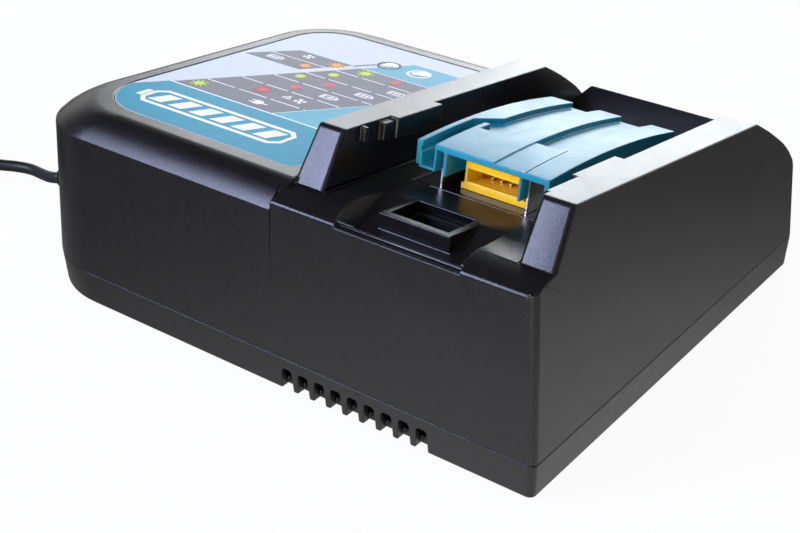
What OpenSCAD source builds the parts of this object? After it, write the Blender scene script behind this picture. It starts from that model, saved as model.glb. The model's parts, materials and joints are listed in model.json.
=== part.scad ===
// Bench charger for slide-in tool batteries.
// X runs along the vented face, that face is at -Y, Z is up, and the feet stand at z = 0.

/* [Case] */
// Length along the vented face at the parting line
case_l = 190; // [150:1:240]
// Depth from the vented face to the back at the parting line
case_d = 150; // [120:1:190]
// Height from the surface to the highest point of the bay walls
case_h = 75; // [65:0.5:95]
// Height of the parting line above the surface
split_z = 11.8; // [8:0.1:20]
// Thickness of the moulded walls
wall_t = 2.5; // [1.8:0.1:4]
// Radius of the two corners at the label end
corner_r = 30; // [15:1:45]
// Radius of the two upright edges at the bay end
edge_r = 2; // [1:0.5:6]
// How far the lower half tapers in at its bottom edge
lower_taper = 0.5; // [0:0.1:2]
// Height of the feet below the case
foot_h = 1.5; // [1:0.1:4]
// Radius of a foot
foot_r = 6.5; // [4:0.5:10]

/* [Label deck] */
// Slope of the deck, falling towards the back
deck_tilt = 6.84; // [0:0.1:15]
// Drop from the highest point of the bay walls to the deck over the middle of the case
deck_below = 20.7; // [15:0.1:28]
// Depth of the rounded shoulder below the deck
deck_drop = 7.5; // [4:0.1:12]
// Distance from the vented face to the front edge of the flat deck
deck_in_front = 12; // [9:0.5:20]
// Distance from the label end to the left edge of the flat deck
deck_in_left = 14.7; // [10:0.1:25]
// Distance from the back to the back edge of the flat deck
deck_in_back = 19.5; // [10:0.5:30]
// Width of the rim at the end of the label
label_margin = 3.8; // [2:0.1:8]
// Width of the rim in front of the label
label_margin_front = 5; // [3:0.1:8]
// Width of the rim behind the label
label_margin_back = 2.4; // [2:0.1:8]
// Gap between the label and the partition
label_gap = 6; // [2:0.1:10]
// Thickness of the label sheet
label_t = 0.6; // [0.3:0.1:1.5]
// Radius of a light window
lens_r = 3; // [2:0.1:5]

/* [Battery bay] */
// Slope of the bay, falling towards the back
bay_tilt = 8.81; // [0:0.1:15]
// Distance from the bay end of the case to the middle of the bay
bay_in = 44.95; // [42:0.05:52]
// Width between the inner faces of the bay
bay_w = 60.9; // [50:0.1:80]
// Depth of the bay floor below the wall tops
bay_drop = 15.8; // [12:0.1:25]
// Thickness of the partition at its top
partition_t = 8.8; // [6:0.1:14]
// How far the rails reach in over the bay
rail_reach = 2.8; // [1:0.1:5]
// Thickness of the rails
rail_t = 6; // [3:0.1:8]
// Thickness of the bay floor
floor_t = 2.5; // [1.5:0.1:4]
// Drop from the highest point of the bay walls to the front lip of the bay
lip_below = 16.3; // [10:0.1:24]

/* [Terminals and cover] */
// Width of the terminal block and of its cover
block_w = 42; // [35:0.5:50]
// Distance between the power blades
blade_pitch = 27.3; // [20:0.1:35]
// Thickness of a power blade
blade_t = 0.8; // [0.5:0.1:1.5]
// Height of the power blades above the bay floor
blade_h = 10; // [7:0.1:11]
// Width of the signal connector
plug_w = 19; // [12:0.5:24]
// Height of the signal connector
plug_h = 9; // [6:0.1:10]
// Travel of the cover
cover_travel = 18; // [10:0.5:20]
// Wall thickness of the cover
cover_t = 1.5; // [1:0.1:2.5]
// Height of the ribs above the rest of the cover
rib_h = 1.7; // [0.5:0.1:2.5]
// Clearance between the cover and what it slides on
slide_gap = 0.4; // [0.2:0.05:0.8]

/* [Air outlet and fan] */
// Width of the air outlet
outlet_w = 18.2; // [12:0.1:30]
// Length of the air outlet
outlet_l = 12.4; // [8:0.1:20]
// Number of air slots
slot_count = 9; // [3:1:9]
// Distance from slot to slot
slot_pitch = 5.78; // [5:0.01:5.9]
// Side of the square fan
fan_size = 40; // [40:1:42]
// Height of the fan
fan_h = 10; // [8:0.5:15]
// Number of fan blades
fan_blades = 7; // [5:1:11]

/* [Mains cord] */
// Diameter of the cord
cord_d = 4; // [3:0.1:7]
// Mean diameter of the coil
coil_d = 48; // [40:1:70]
// Diameter of a plug pin
pin_d = 4; // [4:0.1:5]
// Length of the plug pins
pin_l = 19; // [15:0.5:22]
// Distance between the plug pins
pin_pitch = 18.6; // [17:0.1:20]

/* [Hidden] */
$fn = 48;
eps = 0.01;

half_l = case_l / 2;
half_d = case_d / 2;
deck_z = case_h - deck_below;
deck_left = -half_l + deck_in_left;
deck_front = -half_d + deck_in_front;
deck_back = half_d - deck_in_back;
bay_x = half_l - bay_in;
lip_z = case_h - lip_below;

// Drafted faces of the upper half, in mm per mm of height
draft_front = 0.0646;
draft_back = 0.0285;
draft_left = 0.067;
draft_right = 0.0787;
function front_y(z) = -case_d / 2 + draft_front * (z - split_z);
function back_y(z) = case_d / 2 - draft_back * (z - split_z);
function left_x(z) = -case_l / 2 + draft_left * (z - split_z);
function right_x(z) = case_l / 2 - draft_right * (z - split_z);

// Bay frame: v runs back down the slope, w stands square to it, w = 0 on the wall tops
wall_front_y = -half_d + 21;
bay_ref_z = case_h + tan(bay_tilt) * wall_front_y;
bay_l = bay_x - bay_w / 2;
bay_r = bay_x + bay_w / 2;
function bay_z(y, drop) = bay_ref_z - tan(bay_tilt) * y - drop / cos(bay_tilt);

// Outline of the bay zone seen from the side
bay_proud = 0.5;
lip_y = front_y(lip_z) - bay_proud;
lip_r = 1.3;
slope_foot_y = -half_d + 11.5;
rear_foot_y = half_d - 25;
rear_edge = [half_d - 17, case_h - 23.6];
crest = [half_d - 29.4, bay_z(half_d - 29.4, 0)];
curve_pull = [back_y(case_h - 33), case_h - 32.4];
curve_end = [back_y(case_h - 43), case_h - 43];
function bezier(a, b, c, t) = (1 - t) * (1 - t) * a + 2 * t * (1 - t) * b + t * t * c;
back_curve = [for (i = [0:12]) bezier(crest, curve_pull, curve_end, i / 12)];
lip_arc = [for (a = [180:-22.5:90]) [lip_y + lip_r + lip_r * cos(a), lip_z - lip_r + lip_r * sin(a)]];

// Trench in front of the air outlet
trench_l = bay_x - 21.25;
trench_r = bay_x + 18.75;
trench_rear = -half_d + 24.5;
trench_low = [-half_d + 9.4, case_h - 20.1];
trench_front = [-half_d + 4.5, lip_z - 0.4];
low_lip_z = lip_z - 1.1;
outlet_x = bay_x - 1.35;
outlet_y = -half_d + 20.8;
outlet_wall = 2;

// Terminal block
block_x = bay_x + 0.3;
block_front = -34.4;
block_back = 38;
block_gap = 0.15;
connector_x = bay_x + 1.55;
connector_v = -29.2;
connector_l = 12;
blade_front = -32.5;
blade_l = 14;
cover_front = -34.8;
cover_back = 34.7;
cover_l = block_x - block_w / 2;
cover_r = block_x + block_w / 2;
rib_1_r = cover_l + 7.85;
rib_2_l = cover_l + 16.85;
rib_2_r = cover_l + 24.65;
rib_3_l = cover_r - 7.65;
channel_l = cover_l + 1.95;
channel_r = channel_l + 3.9;
channel_t = 0.7;
cover_crest_v = -4.7;
cover_crest_w = -2.37;
cover_arc_r = 290;
channel_top = -4.2;
guide_l = bay_x - 8.65;
guide_r = bay_x + 10.15;
guide_t = 1.6;
guide_top = -9.4;
spring_x = [bay_x - 15.85, bay_x + 16.85];
spring_w = -10.6;
spring_r = 2;
spring_wire = 0.5;
spring_turns = 9;
tab_v = 2;
tab_t = 1.5;
stop_v = 34;
stop_t = 2;
pin_r = 1.1;

// Fan and duct
fan_x = outlet_x;
fan_y = -half_d + 27;
fan_z = case_h - 51;
fan_hole = 16;
collar_t = 2;
duct_z = fan_z + fan_h;
duct_top = case_h - 20;

// Inside of the lower half
floor_z = foot_h + wall_t;
board_z = 8;
board_t = 1.6;
board_top = board_z + board_t;
middle_x = bay_x - 36.05;
case_screw_at = [[-half_l + 17, -half_d + 25], [-half_l + 17, half_d - 25],
    [middle_x, -half_d + 11], [middle_x, half_d - 11],
    [half_l - 11, -half_d + 13], [half_l - 11, half_d - 13]];
foot_at = [[-half_l + 35, -half_d + 17], [-half_l + 35, half_d - 17],
    [half_l - 24, -half_d + 16], [half_l - 24, half_d - 15]];
board_l = -half_l + 25;
board_r = half_l - 8;
board_step_x = bay_x - 24.05;
board_front = -half_d + 25;
board_back = half_d - 23;
board_step_y = fan_y + 28;
board_screw_at = [[board_l + 4, board_front + 3], [board_l + 4, board_back - 22],
    [board_step_x - 6, board_front + 6], [board_step_x - 6, board_back - 6],
    [board_r - 7, board_back - 6], [board_r - 7, board_step_y + 6]];
post_r = 4;
screw_r = 1.5;
shank_r = 1.45;

// Light windows
lens_at = [[deck_left + 46.1, deck_back - 19.8], [deck_left + 58.3, deck_back - 19.8]];
lamp_board_drop = 9;

// Mains cord
exit_y = -25;
exit_z = split_z;
clamp_x = -half_l + 12;
clamp_z = 9.8;
clamp_h = 5.4;
cord_start = [-half_l + 2, exit_y, 0];
guard_route = [for (p = [[0, 0, 11.8], [-8, -0.2, 11.4], [-15, -0.7, 10.4], [-22, -1.3, 9],
    [-29, -2, 7.3], [-37, -2.8, 5.2]]) p + cord_start];
guard_radius = [4.2, 3.9, 3.6, 3.3, 3, 2.7];
guard_flange_r = 6;
cord_route = [for (p = [[-37, -2.8, 5.2], [-43, -2.8, 3.6], [-49, -1.8, 2.6], [-56, -1, 2.1],
    [-62, -2.6, 2.1], [-67, -4.9, 2.1], [-75, -8.2, 2.2], [-81, -10.2, 2.5],
    [-87, -11.7, 2.9]]) p + cord_start];
tail_route = [for (p = [[-122.2, -50.5, 14.6], [-119, -61, 12.8], [-114, -71, 10.4], [-108.5, -80, 8.4],
    [-103.5, -88, 7.2], [-100.5, -95, 7]]) p + cord_start];
coil_at = [cord_start[0] - 95, cord_start[1] - 39];
coil_turns = 3;
coil_layers = 4;
turn_gap = 0.08;
tie_t = 0.8;
coil_half = coil_turns * (cord_d + turn_gap) / 2;
coil_h = coil_layers * (cord_d + turn_gap);
plug_at = [cord_start[0] - 100.5, cord_start[1] - 95, 7];
plug_turn = -90;
plug_neck_l = 10;
plug_body_l = 46;
plug_body_w = 35;
plug_body_h = 13.6;

// ---- helpers ----

// Extrudes a (y, z) outline along X
module along_x(points, x0, x1) {
    translate([x0, 0, 0])
        rotate([90, 0, 90])
            linear_extrude(x1 - x0)
                polygon(points);
}

// Extrudes an (x, z) outline along Y
module along_y(points, y0, y1) {
    translate([0, y1, 0])
        rotate([90, 0, 0])
            linear_extrude(y1 - y0)
                polygon(points);
}

module box(x0, x1, y0, y1, z0, z1) {
    translate([x0, y0, z0])
        cube([x1 - x0, y1 - y0, z1 - z0]);
}

module in_bay() {
    translate([0, 0, bay_ref_z])
        rotate([-bay_tilt, 0, 0])
            children();
}

module on_deck() {
    translate([0, 0, deck_z])
        rotate([-deck_tilt, 0, 0])
            children();
}

// Rectangle with round corners: large ones on the left, small ones on the right
module outline(x0, x1, y0, y1, r_front, r_back, r_right = 0) {
    translate([x0 + r_front, y0 + r_front])
        circle(r_front, $fn = 72);
    translate([x0 + r_back, y1 - r_back])
        circle(r_back, $fn = 72);
    translate([x0, y0 + r_front])
        square([x1 - x0, y1 - y0 - r_front - r_back]);
    translate([x0 + r_front, y0])
        square([x1 - x0 - r_front - r_right, r_front + 1]);
    translate([x0 + r_back, y1 - r_back - 1])
        square([x1 - x0 - r_back - r_right, r_back + 1]);
    if (r_right > 0) {
        translate([x1 - r_right - 1, y0 + r_right])
            square([r_right + 1, y1 - y0 - 2 * r_right]);
        for (y = [y0 + r_right, y1 - r_right])
            translate([x1 - r_right, y])
                circle(r_right);
    }
}

// Stands a child at a with its Z axis pointing to b
module from_to(a, b) {
    d = b - a;
    translate(a)
        rotate([0, acos(d[2] / norm(d)), atan2(d[1], d[0])])
            children();
}

module rod(a, b, r) {
    from_to(a, b)
        cylinder(h = norm(b - a), r = r);
}

function unit(v) = v / norm(v);
function heading(p, i) = unit(p[min(i + 1, len(p) - 1)] - p[max(i - 1, 0)]);
function side_of(t) = unit(cross([0, 0, 1], t));

// Round tube swept along a route with a radius for each point, closed at both ends
module tapered_tube(route, radii, sides) {
    n = len(route);
    points = [
        for (i = [0:n - 1])
            let (t = heading(route, i), s = side_of(t), u = cross(t, s))
                for (k = [0:sides - 1])
                    route[i] + radii[i] * (cos(360 * k / sides) * s + sin(360 * k / sides) * u)
    ];
    skin = [
        for (i = [0:n - 2])
            for (k = [0:sides - 1])
                let (a = i * sides + k, b = i * sides + (k + 1) % sides)
                    each [[b, a, a + sides], [b, a + sides, b + sides]]
    ];
    first = [for (k = [0:sides - 1]) k];
    last = [for (k = [sides - 1:-1:0]) (n - 1) * sides + k];
    polyhedron(points = points, faces = concat(skin, [first], [last]));
}

module tube(route, r, sides) {
    tapered_tube(route, [for (p = route) r], sides);
}

module screw(x, y, z0, length, head_r) {
    translate([x, y, z0]) {
        difference() {
            cylinder(h = 1.8, r = head_r);
            translate([0, 0, -eps])
                box(-head_r * 0.7, head_r * 0.7, -0.3, 0.3, 0, 0.9);
            translate([0, 0, -eps])
                box(-0.3, 0.3, -head_r * 0.7, head_r * 0.7, 0, 0.9);
        }
        translate([0, 0, 1.8 - eps])
            cylinder(h = length, r = shank_r);
    }
}

// ---- upper half ----

// Rounded shoulder, from the deck rim down to the crease, as shares of its width and height
shoulder_out = [0, 0.3, 0.57, 0.8, 1];
shoulder_down = [0, 0.16, 0.4, 0.68, 1];
deck_r_front = 24;
deck_r_back = 18;
crease_left = -half_l + 2.6;
crease_front = -half_d + 2.8;
crease_back = half_d - 0.75;
deck_end = bay_l - 9.6;

function deck_v(y, drop) = (y + drop * sin(deck_tilt)) / cos(deck_tilt);

module deck_slab(i, inset) {
    out = shoulder_out[i];
    drop = shoulder_down[i] * deck_drop;
    x0 = deck_left + (crease_left - deck_left) * out + inset;
    y0 = deck_v(deck_front + (crease_front - deck_front) * out, drop) + inset;
    y1 = deck_v(deck_back + (crease_back - deck_back) * out, drop) - inset;
    r0 = deck_r_front + (corner_r - 2 - deck_r_front) * out - inset;
    r1 = deck_r_back + (corner_r - 2 - deck_r_back) * out - inset;
    on_deck()
        translate([0, 0, -drop - eps - inset])
            linear_extrude(eps)
                outline(x0, deck_end + inset, y0, y1, r0, r1);
}

module deck_block(inset) {
    hull() {
        for (i = [0:4])
            deck_slab(i, inset);
        translate([0, 0, split_z - inset / 2])
            linear_extrude(eps)
                outline(-case_l / 2 + inset, deck_end + inset, -case_d / 2 + inset,
                    case_d / 2 - inset, corner_r - inset, corner_r - inset);
    }
}

// Left end of the bay block, at the seam in the vented face
block_start = bay_l - 11.1;

module bay_side() {
    points = concat(
        [[front_y(split_z), split_z], [front_y(30), 30]],
        lip_arc,
        [[slope_foot_y - 4.5, lip_z + 1.2], [slope_foot_y, bay_z(slope_foot_y, bay_drop)]],
        [[rear_foot_y, bay_z(rear_foot_y, bay_drop)], rear_edge],
        [for (p = back_curve) if (p[0] > rear_edge[0] + 0.5) p],
        [[back_y(split_z), split_z]]
    );
    along_x(points, block_start, half_l);
}

module wall_side(x0, x1) {
    points = concat(
        [[wall_front_y - 15, case_h - 23], [wall_front_y, case_h]],
        back_curve,
        [[half_d - 15, 25]]
    );
    along_x(points, x0, x1);
}

// Limits the bay zone to its drafted right face
module right_limit(inset) {
    along_y([[0, 0], [right_x(0) - inset, 0], [right_x(100) - inset, 100], [0, 100]],
        -half_d - 15, half_d + 15);
}

module partition() {
    top_l = bay_l - partition_t;
    intersection() {
        wall_side(block_start - 0.5, bay_l);
        along_y([[block_start + 0.1, 20], [block_start + 0.1, case_h - 19], [top_l, case_h + 1],
            [bay_l, case_h + 1], [bay_l, 20]], -half_d - 15, half_d + 15);
    }
}

module rails() {
    in_bay() {
        box(bay_l - 1, bay_l + rail_reach, -34.6, -13.7, -rail_t, 0);
        box(bay_l - 1, bay_l + rail_reach - 0.8, -39.5, -34, -rail_t, -0.8);
        box(bay_l - 1, bay_l + rail_reach - 1, -47.8, -46.2, -4.5, -0.4);
        box(bay_r - rail_reach, bay_r + 1, -36, -13.7, -rail_t, 0);
        box(bay_r - 1, bay_r + 1, -52, -36, -rail_t, 0);
    }
}

// Rounds the upright edge where the right face meets the front (side -1) or the back (side 1)
module upright_edge(side, draft) {
    translate([case_l / 2, side * case_d / 2, split_z])
        rotate([side * atan(draft), 0, 0])
            rotate([0, -atan(draft_right), 0])
                translate([-edge_r, -side * edge_r, -20])
                    difference() {
                        translate([0, side < 0 ? -2 * edge_r : 0, 0])
                            cube([2 * edge_r, 2 * edge_r, case_h + 20]);
                        translate([0, 0, -1])
                            cylinder(h = case_h + 22, r = edge_r);
                    }
}

module bay_block() {
    difference() {
        intersection() {
            union() {
                bay_side();
                partition();
                wall_side(bay_r, case_l / 2);
                rails();
            }
            right_limit(0);
        }
        upright_edge(-1, draft_front);
        upright_edge(1, draft_back);
    }
}

module trench() {
    side_z = bay_z(trench_rear - 7.5, bay_drop);
    intersection() {
        along_x([[trench_rear, bay_z(trench_rear, bay_drop) + eps], trench_low, trench_front,
            [trench_front[0], case_h], [trench_rear, case_h]], trench_l - 1, trench_r + 1);
        along_y([[trench_l + 3, trench_low[1] - 1], [trench_l, side_z], [trench_l, case_h],
            [trench_r, case_h], [trench_r, side_z], [trench_r - 3, trench_low[1] - 1]],
            -half_d, trench_rear + 6);
    }
}

module chimney() {
    half = outlet_w / 2 + outlet_wall;
    difference() {
        box(outlet_x - half, outlet_x + half + 0.4, outlet_y - outlet_l / 2 - outlet_wall - 0.6,
            trench_rear + 1, case_h - 25, case_h - 11);
        in_bay()
            box(0, half_l, -half_d - 15, 0, -bay_drop, 10);
    }
}

module bay_cavity() {
    under = floor_t + bay_drop;
    front_in = front_y(30) + wall_t;
    difference() {
        union() {
            intersection() {
                along_x([[front_y(0) + wall_t, 0], [front_in + 1.2, case_h - 24],
                    [-half_d + 9, bay_z(-half_d + 9, under)],
                    [rear_foot_y - 2, bay_z(rear_foot_y - 2, under)],
                    [half_d - 14, case_h - 33], [half_d - 6, case_h - 39.5],
                    [back_y(case_h - 45) - wall_t, case_h - 45],
                    [half_d - wall_t, 0]], block_start + 0.5, half_l);
                right_limit(wall_t);
            }
            intersection() {
                along_x([[wall_front_y - 7, case_h - 25], [wall_front_y + 2, case_h - 3.3],
                    [crest[0] - 1.1, bay_z(crest[0] - 1.1, wall_t)], [half_d - 15, case_h - 31],
                    [half_d - 15, 30],
                    [wall_front_y - 7, 30]], bay_l - partition_t + 2.4, half_l);
                right_limit(wall_t);
                union() {
                    box(0, bay_l - wall_t, -half_d, half_d, 20, case_h);
                    box(bay_r + wall_t, half_l, -half_d, half_d, 20, case_h);
                }
            }
        }
        // floor and walls of the trench
        box(trench_l - floor_t, trench_r + floor_t, -half_d - 5, trench_rear + 3,
            trench_low[1] - floor_t, case_h);
    }
}

module upper_posts() {
    half_w = outlet_w / 2 + 2.9;
    half_y = outlet_l / 2 + 2.8;
    for (p = case_screw_at)
        translate([p[0], p[1], split_z])
            cylinder(h = case_h - 15, r = post_r);
    on_deck()
        for (x = [lens_at[0][0] - 8, lens_at[1][0] + 8])
            translate([x, lens_at[0][1], -lamp_board_drop])
                cylinder(h = 10, r = 2.5);
    // rest of the fan duct
    difference() {
        box(outlet_x - half_w, outlet_x + half_w, outlet_y - half_y, outlet_y + half_y,
            case_h - 25, case_h - 15);
        box(outlet_x - half_w + 2, outlet_x + half_w - 2, outlet_y - half_y + 2, outlet_y + half_y - 2,
            case_h - 30, case_h);
    }
}

module upper_case() {
    color("#1b1b1f")
        difference() {
            union() {
                difference() {
                    union() {
                        deck_block(0);
                        bay_block();
                    }
                    trench();
                }
                chimney();
            }
            difference() {
                union() {
                    deck_block(wall_t);
                    bay_cavity();
                    box(-half_l + 35, half_l - 35, -half_d + 3, half_d - 3, 0, split_z);
                    outline_cut();
                }
                upper_posts();
            }
            // lower part of the lip in front of the trench
            box(trench_l + 1.7, trench_r + 0.7, -half_d - 5, trench_front[0] + eps, low_lip_z, case_h - 11);
            // outlet opening
            box(outlet_x - outlet_w / 2, outlet_x + outlet_w / 2,
                outlet_y - outlet_l / 2, outlet_y + outlet_l / 2, case_h - 30, case_h);
            // opening for the terminal block
            in_bay()
                box(cover_l - block_gap, cover_r + block_gap, block_front - block_gap,
                    block_back + block_gap, -bay_drop - 6, -bay_drop + 1);
            // notch in the rear wall of the bay beside the partition
            along_y([[bay_l, case_h - 34], [bay_l, case_h - 15], [bay_l + 18.4, case_h - 15],
                [bay_l + 10.4, case_h - 22.9]], rear_foot_y - 5, half_d + 5);
            // shallow pocket right of the trench
            in_bay()
                box(trench_r + 5.8, trench_r + 11.7, slope_foot_y - 3.9, slope_foot_y - 0.5,
                    -bay_drop - 0.5, -bay_drop + 1);
            // label recess and light windows
            on_deck() {
                translate([0, 0, -label_t - 0.2])
                    linear_extrude(3)
                        label_outline(0.1);
                for (p = lens_at)
                    translate([p[0], deck_v(p[1], 0), -6])
                        cylinder(h = 8, r = lens_r + 0.1);
                for (x = [lens_at[0][0] - 8, lens_at[1][0] + 8])
                    translate([x, lens_at[0][1], -lamp_board_drop - 1])
                        cylinder(h = 5, r = 0.8);
            }
            for (p = case_screw_at)
                translate([p[0], p[1], split_z - 1])
                    cylinder(h = 12, r = shank_r);
            cord_hole();
        }
}

// Opens the underside of the shell down to the parting line
module outline_cut() {
    translate([0, 0, split_z - 1])
        linear_extrude(1.5)
            outline(-case_l / 2 + wall_t, case_l / 2 - wall_t, -case_d / 2 + wall_t,
                case_d / 2 - wall_t, corner_r - wall_t, corner_r - wall_t);
}

module label_outline(grow) {
    outline(deck_left + label_margin - grow, block_start + 2.3 - label_gap + grow,
        deck_v(deck_front, 0) + label_margin_front - grow, deck_v(deck_back, 0) - label_margin_back + grow,
        deck_r_front - label_margin, deck_r_back - label_margin, 4 + grow);
}

module cord_hole() {
    rod([-half_l + 10, exit_y, exit_z], [-half_l - 5, exit_y, exit_z], guard_radius[0] + 0.1);
}

// ---- lower half ----

module lower_case() {
    color("#1b1b1f")
        difference() {
            union() {
                difference() {
                    hull() {
                        translate([0, 0, split_z - eps])
                            linear_extrude(eps)
                                outline(-half_l, half_l, -half_d, half_d, corner_r, corner_r, edge_r);
                        translate([0, 0, foot_h])
                            linear_extrude(eps)
                                outline(-case_l / 2 + lower_taper, case_l / 2 - lower_taper,
                                    -case_d / 2 + lower_taper, case_d / 2 - lower_taper,
                                    corner_r, corner_r, edge_r);
                    }
                    translate([0, 0, floor_z])
                        linear_extrude(20)
                            outline(-case_l / 2 + wall_t, case_l / 2 - wall_t, -case_d / 2 + wall_t,
                                case_d / 2 - wall_t, corner_r - wall_t, corner_r - wall_t);
                }
                tongue();
                lower_posts();
            }
            for (k = [0:slot_count - 1])
                air_slot(block_start + 3.6 + slot_pitch * k);
            for (p = foot_at)
                translate([p[0], p[1], 0])
                    cylinder(h = foot_h + 1, r = foot_r);
            for (p = case_screw_at) {
                translate([p[0], p[1], 0])
                    cylinder(h = split_z - 4.3, r = 3.1);
                translate([p[0], p[1], 0])
                    cylinder(h = 30, r = screw_r + 0.1);
            }
            for (p = board_screw_at)
                translate([p[0], p[1], floor_z - 1])
                    cylinder(h = 10, r = shank_r);
            for (dx = [-fan_hole, fan_hole])
                for (dy = [-fan_hole, fan_hole])
                    translate([fan_x + dx, fan_y + dy, fan_z - 8])
                        cylinder(h = 9, r = shank_r);
            for (dy = [-8, 8])
                translate([clamp_x, exit_y + dy, floor_z])
                    cylinder(h = 10, r = shank_r);
            cord_hole();
        }
}

// Raised edge that locates the upper half
module tongue() {
    inner = wall_t + 1.4;
    outer = wall_t + 0.3;
    difference() {
        translate([0, 0, floor_z])
            linear_extrude(split_z + 1.6 - floor_z)
                outline(-case_l / 2 + outer, case_l / 2 - outer - 0.2, -case_d / 2 + outer + 0.1,
                    case_d / 2 - outer - 0.1, corner_r - outer, corner_r - outer);
        translate([0, 0, floor_z - 1])
            linear_extrude(split_z)
                outline(-case_l / 2 + inner, case_l / 2 - inner, -case_d / 2 + inner,
                    case_d / 2 - inner, corner_r - inner, corner_r - inner);
        box(block_start - 0.5, block_start + 59.5, -half_d - 5, -half_d + 15, 0, 30);
        box(-half_l - 5, -half_l + 10, exit_y - 7, exit_y + 7, 0, 30);
    }
}

module lower_posts() {
    for (p = case_screw_at)
        translate([p[0], p[1], foot_h])
            cylinder(h = split_z - foot_h, r = post_r);
    for (p = board_screw_at)
        translate([p[0], p[1], foot_h])
            cylinder(h = board_z - foot_h, r = 3);
    for (dx = [-fan_hole, fan_hole])
        for (dy = [-fan_hole, fan_hole])
            translate([fan_x + dx, fan_y + dy, foot_h])
                cylinder(h = fan_z - foot_h, r = 3.2);
    for (dy = [-8, 8])
        translate([clamp_x, exit_y + dy, foot_h])
            cylinder(h = clamp_z - foot_h, r = 3);
    box(clamp_x - 3, clamp_x + 3, exit_y - 4, exit_y + 4, foot_h, clamp_z);
}

module air_slot(x) {
    w = 3.4;
    along_y([[x - 0.5, -1], [x, 7.6], [x + 0.5, 8.3], [x + w - 0.5, 8.3], [x + w, 7.6], [x + w + 0.5, -1]],
        -half_d - 5, -half_d + 3.2);
}

module rubber_feet() {
    color("#2c2c2e")
        for (p = foot_at)
            translate([p[0], p[1], 0])
                rotate_extrude()
                    polygon([[0, 0], [foot_r - 0.8, 0], [foot_r - 0.1, 0.7], [foot_r - 0.1, foot_h + 1],
                        [0, foot_h + 1]]);
}

module case_screws() {
    color("#8c8f94")
        for (p = case_screw_at)
            screw(p[0], p[1], split_z - 4.3 - 1.8, 12, 2.8);
}

// ---- label ----

module label_panel() {
    color("#9fb8bf")
        on_deck()
            difference() {
                translate([0, 0, -label_t - 0.2])
                    linear_extrude(label_t)
                        label_outline(-0.1);
                for (p = lens_at)
                    translate([p[0], deck_v(p[1], 0), -6])
                        cylinder(h = 8, r = lens_r + 0.1);
            }
}

module indicator_lenses() {
    color("#dfe8ea")
        on_deck()
            for (p = lens_at)
                translate([p[0], deck_v(p[1], 0), -wall_t - 1]) {
                    cylinder(h = wall_t + 0.8, r = lens_r);
                    cylinder(h = 1, r = lens_r + 1);
                }
}

module led_board() {
    y = deck_v(lens_at[0][1], 0);
    color("#1f5a3c")
        on_deck()
            difference() {
                box(lens_at[0][0] - 12, lens_at[1][0] + 12, y - 6, y + 6,
                    -lamp_board_drop - 1.2, -lamp_board_drop);
                for (x = [lens_at[0][0] - 8, lens_at[1][0] + 8])
                    translate([x, lens_at[0][1], -lamp_board_drop - 2])
                        cylinder(h = 3, r = 0.9);
            }
}

module led_lamps() {
    color("#e8e8d8")
        on_deck()
            for (p = lens_at)
                translate([p[0], deck_v(p[1], 0), -lamp_board_drop]) {
                    cylinder(h = 1, r = 1.8);
                    cylinder(h = 2.4, r = 1.5);
                    translate([0, 0, 2.4])
                        sphere(1.5);
                }
}

// ---- battery terminals ----

module terminal_base() {
    low = -bay_drop - floor_t;
    color("#141416")
        in_bay()
            difference() {
                union() {
                    box(cover_l, cover_r, block_front, block_back, low - 2, -bay_drop);
                    box(cover_l - 2, cover_r + 2, block_front - 2.4, block_back + 2, low - 2, low);
                    // guide rails with outward lips
                    box(guide_l, guide_l + guide_t, -8, 30, -bay_drop - 1, guide_top);
                    box(guide_l - guide_t, guide_l + guide_t, -8, 30, guide_top - 1.2, guide_top);
                    box(guide_r - guide_t, guide_r, -8, 30, -bay_drop - 1, guide_top);
                    box(guide_r - guide_t, guide_r + guide_t, -8, 30, guide_top - 1.2, guide_top);
                    // stops for the springs
                    for (x = spring_x)
                        box(x - 2.6, x + 2.6, stop_v, stop_v + stop_t, -bay_drop - 1, spring_w + 2.6);
                }
                for (x = spring_x)
                    translate([x, stop_v + stop_t + 1, spring_w])
                        rotate([90, 0, 0])
                            cylinder(h = stop_t + 2, r = pin_r);
                for (s = [-1, 1])
                    box(blade_mid(s) - blade_t / 2, blade_mid(s) + blade_t / 2, blade_front,
                        blade_front + blade_l, low - 5, -bay_drop + 1);
                box(connector_x - 8, connector_x + 8, connector_v + 3, connector_v + connector_l - 3,
                    low - 5, -bay_drop + 1);
            }
}

function blade_mid(side) = bay_x + 0.45 + side * blade_pitch / 2;

module power_blades() {
    low = -bay_drop - floor_t - 2;
    color("#d6d8da")
        in_bay()
            for (s = [-1, 1])
                difference() {
                    union() {
                        box(blade_mid(s) - blade_t / 2, blade_mid(s) + blade_t / 2, blade_front,
                            blade_front + blade_l, low, -bay_drop + blade_h);
                        box(blade_mid(s) - blade_t / 2, blade_mid(s) + blade_t / 2, blade_front + 4,
                            blade_front + 10, low - 5, low + eps);
                    }
                    translate([blade_mid(s) - 2, blade_front + 7, low - 3])
                        rotate([0, 90, 0])
                            cylinder(h = 4, r = 1);
                }
}

module connector_housing() {
    x0 = connector_x - plug_w / 2;
    x1 = connector_x + plug_w / 2;
    bottom = -bay_drop;
    color("#f2ac12")
        in_bay()
            difference() {
                union() {
                    box(x0, x1, connector_v, connector_v + connector_l, bottom, bottom + plug_h);
                    box(x0 - 0.8, x1 + 1, connector_v - 0.3, connector_v + connector_l, bottom, bottom + 1.8);
                }
                box(x0 + 0.8, x1 - 0.8, connector_v - 1, connector_v + connector_l - 1.2,
                    bottom + 2.3, bottom + 5.9);
                for (k = [0:5])
                    box(contact_x(k) - 0.3, contact_x(k) + 0.3, connector_v + 6, connector_v + 8.8,
                        bottom - 1, bottom + 3);
            }
}

function contact_x(k) = connector_x - 7.25 + 2.9 * k;

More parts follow.
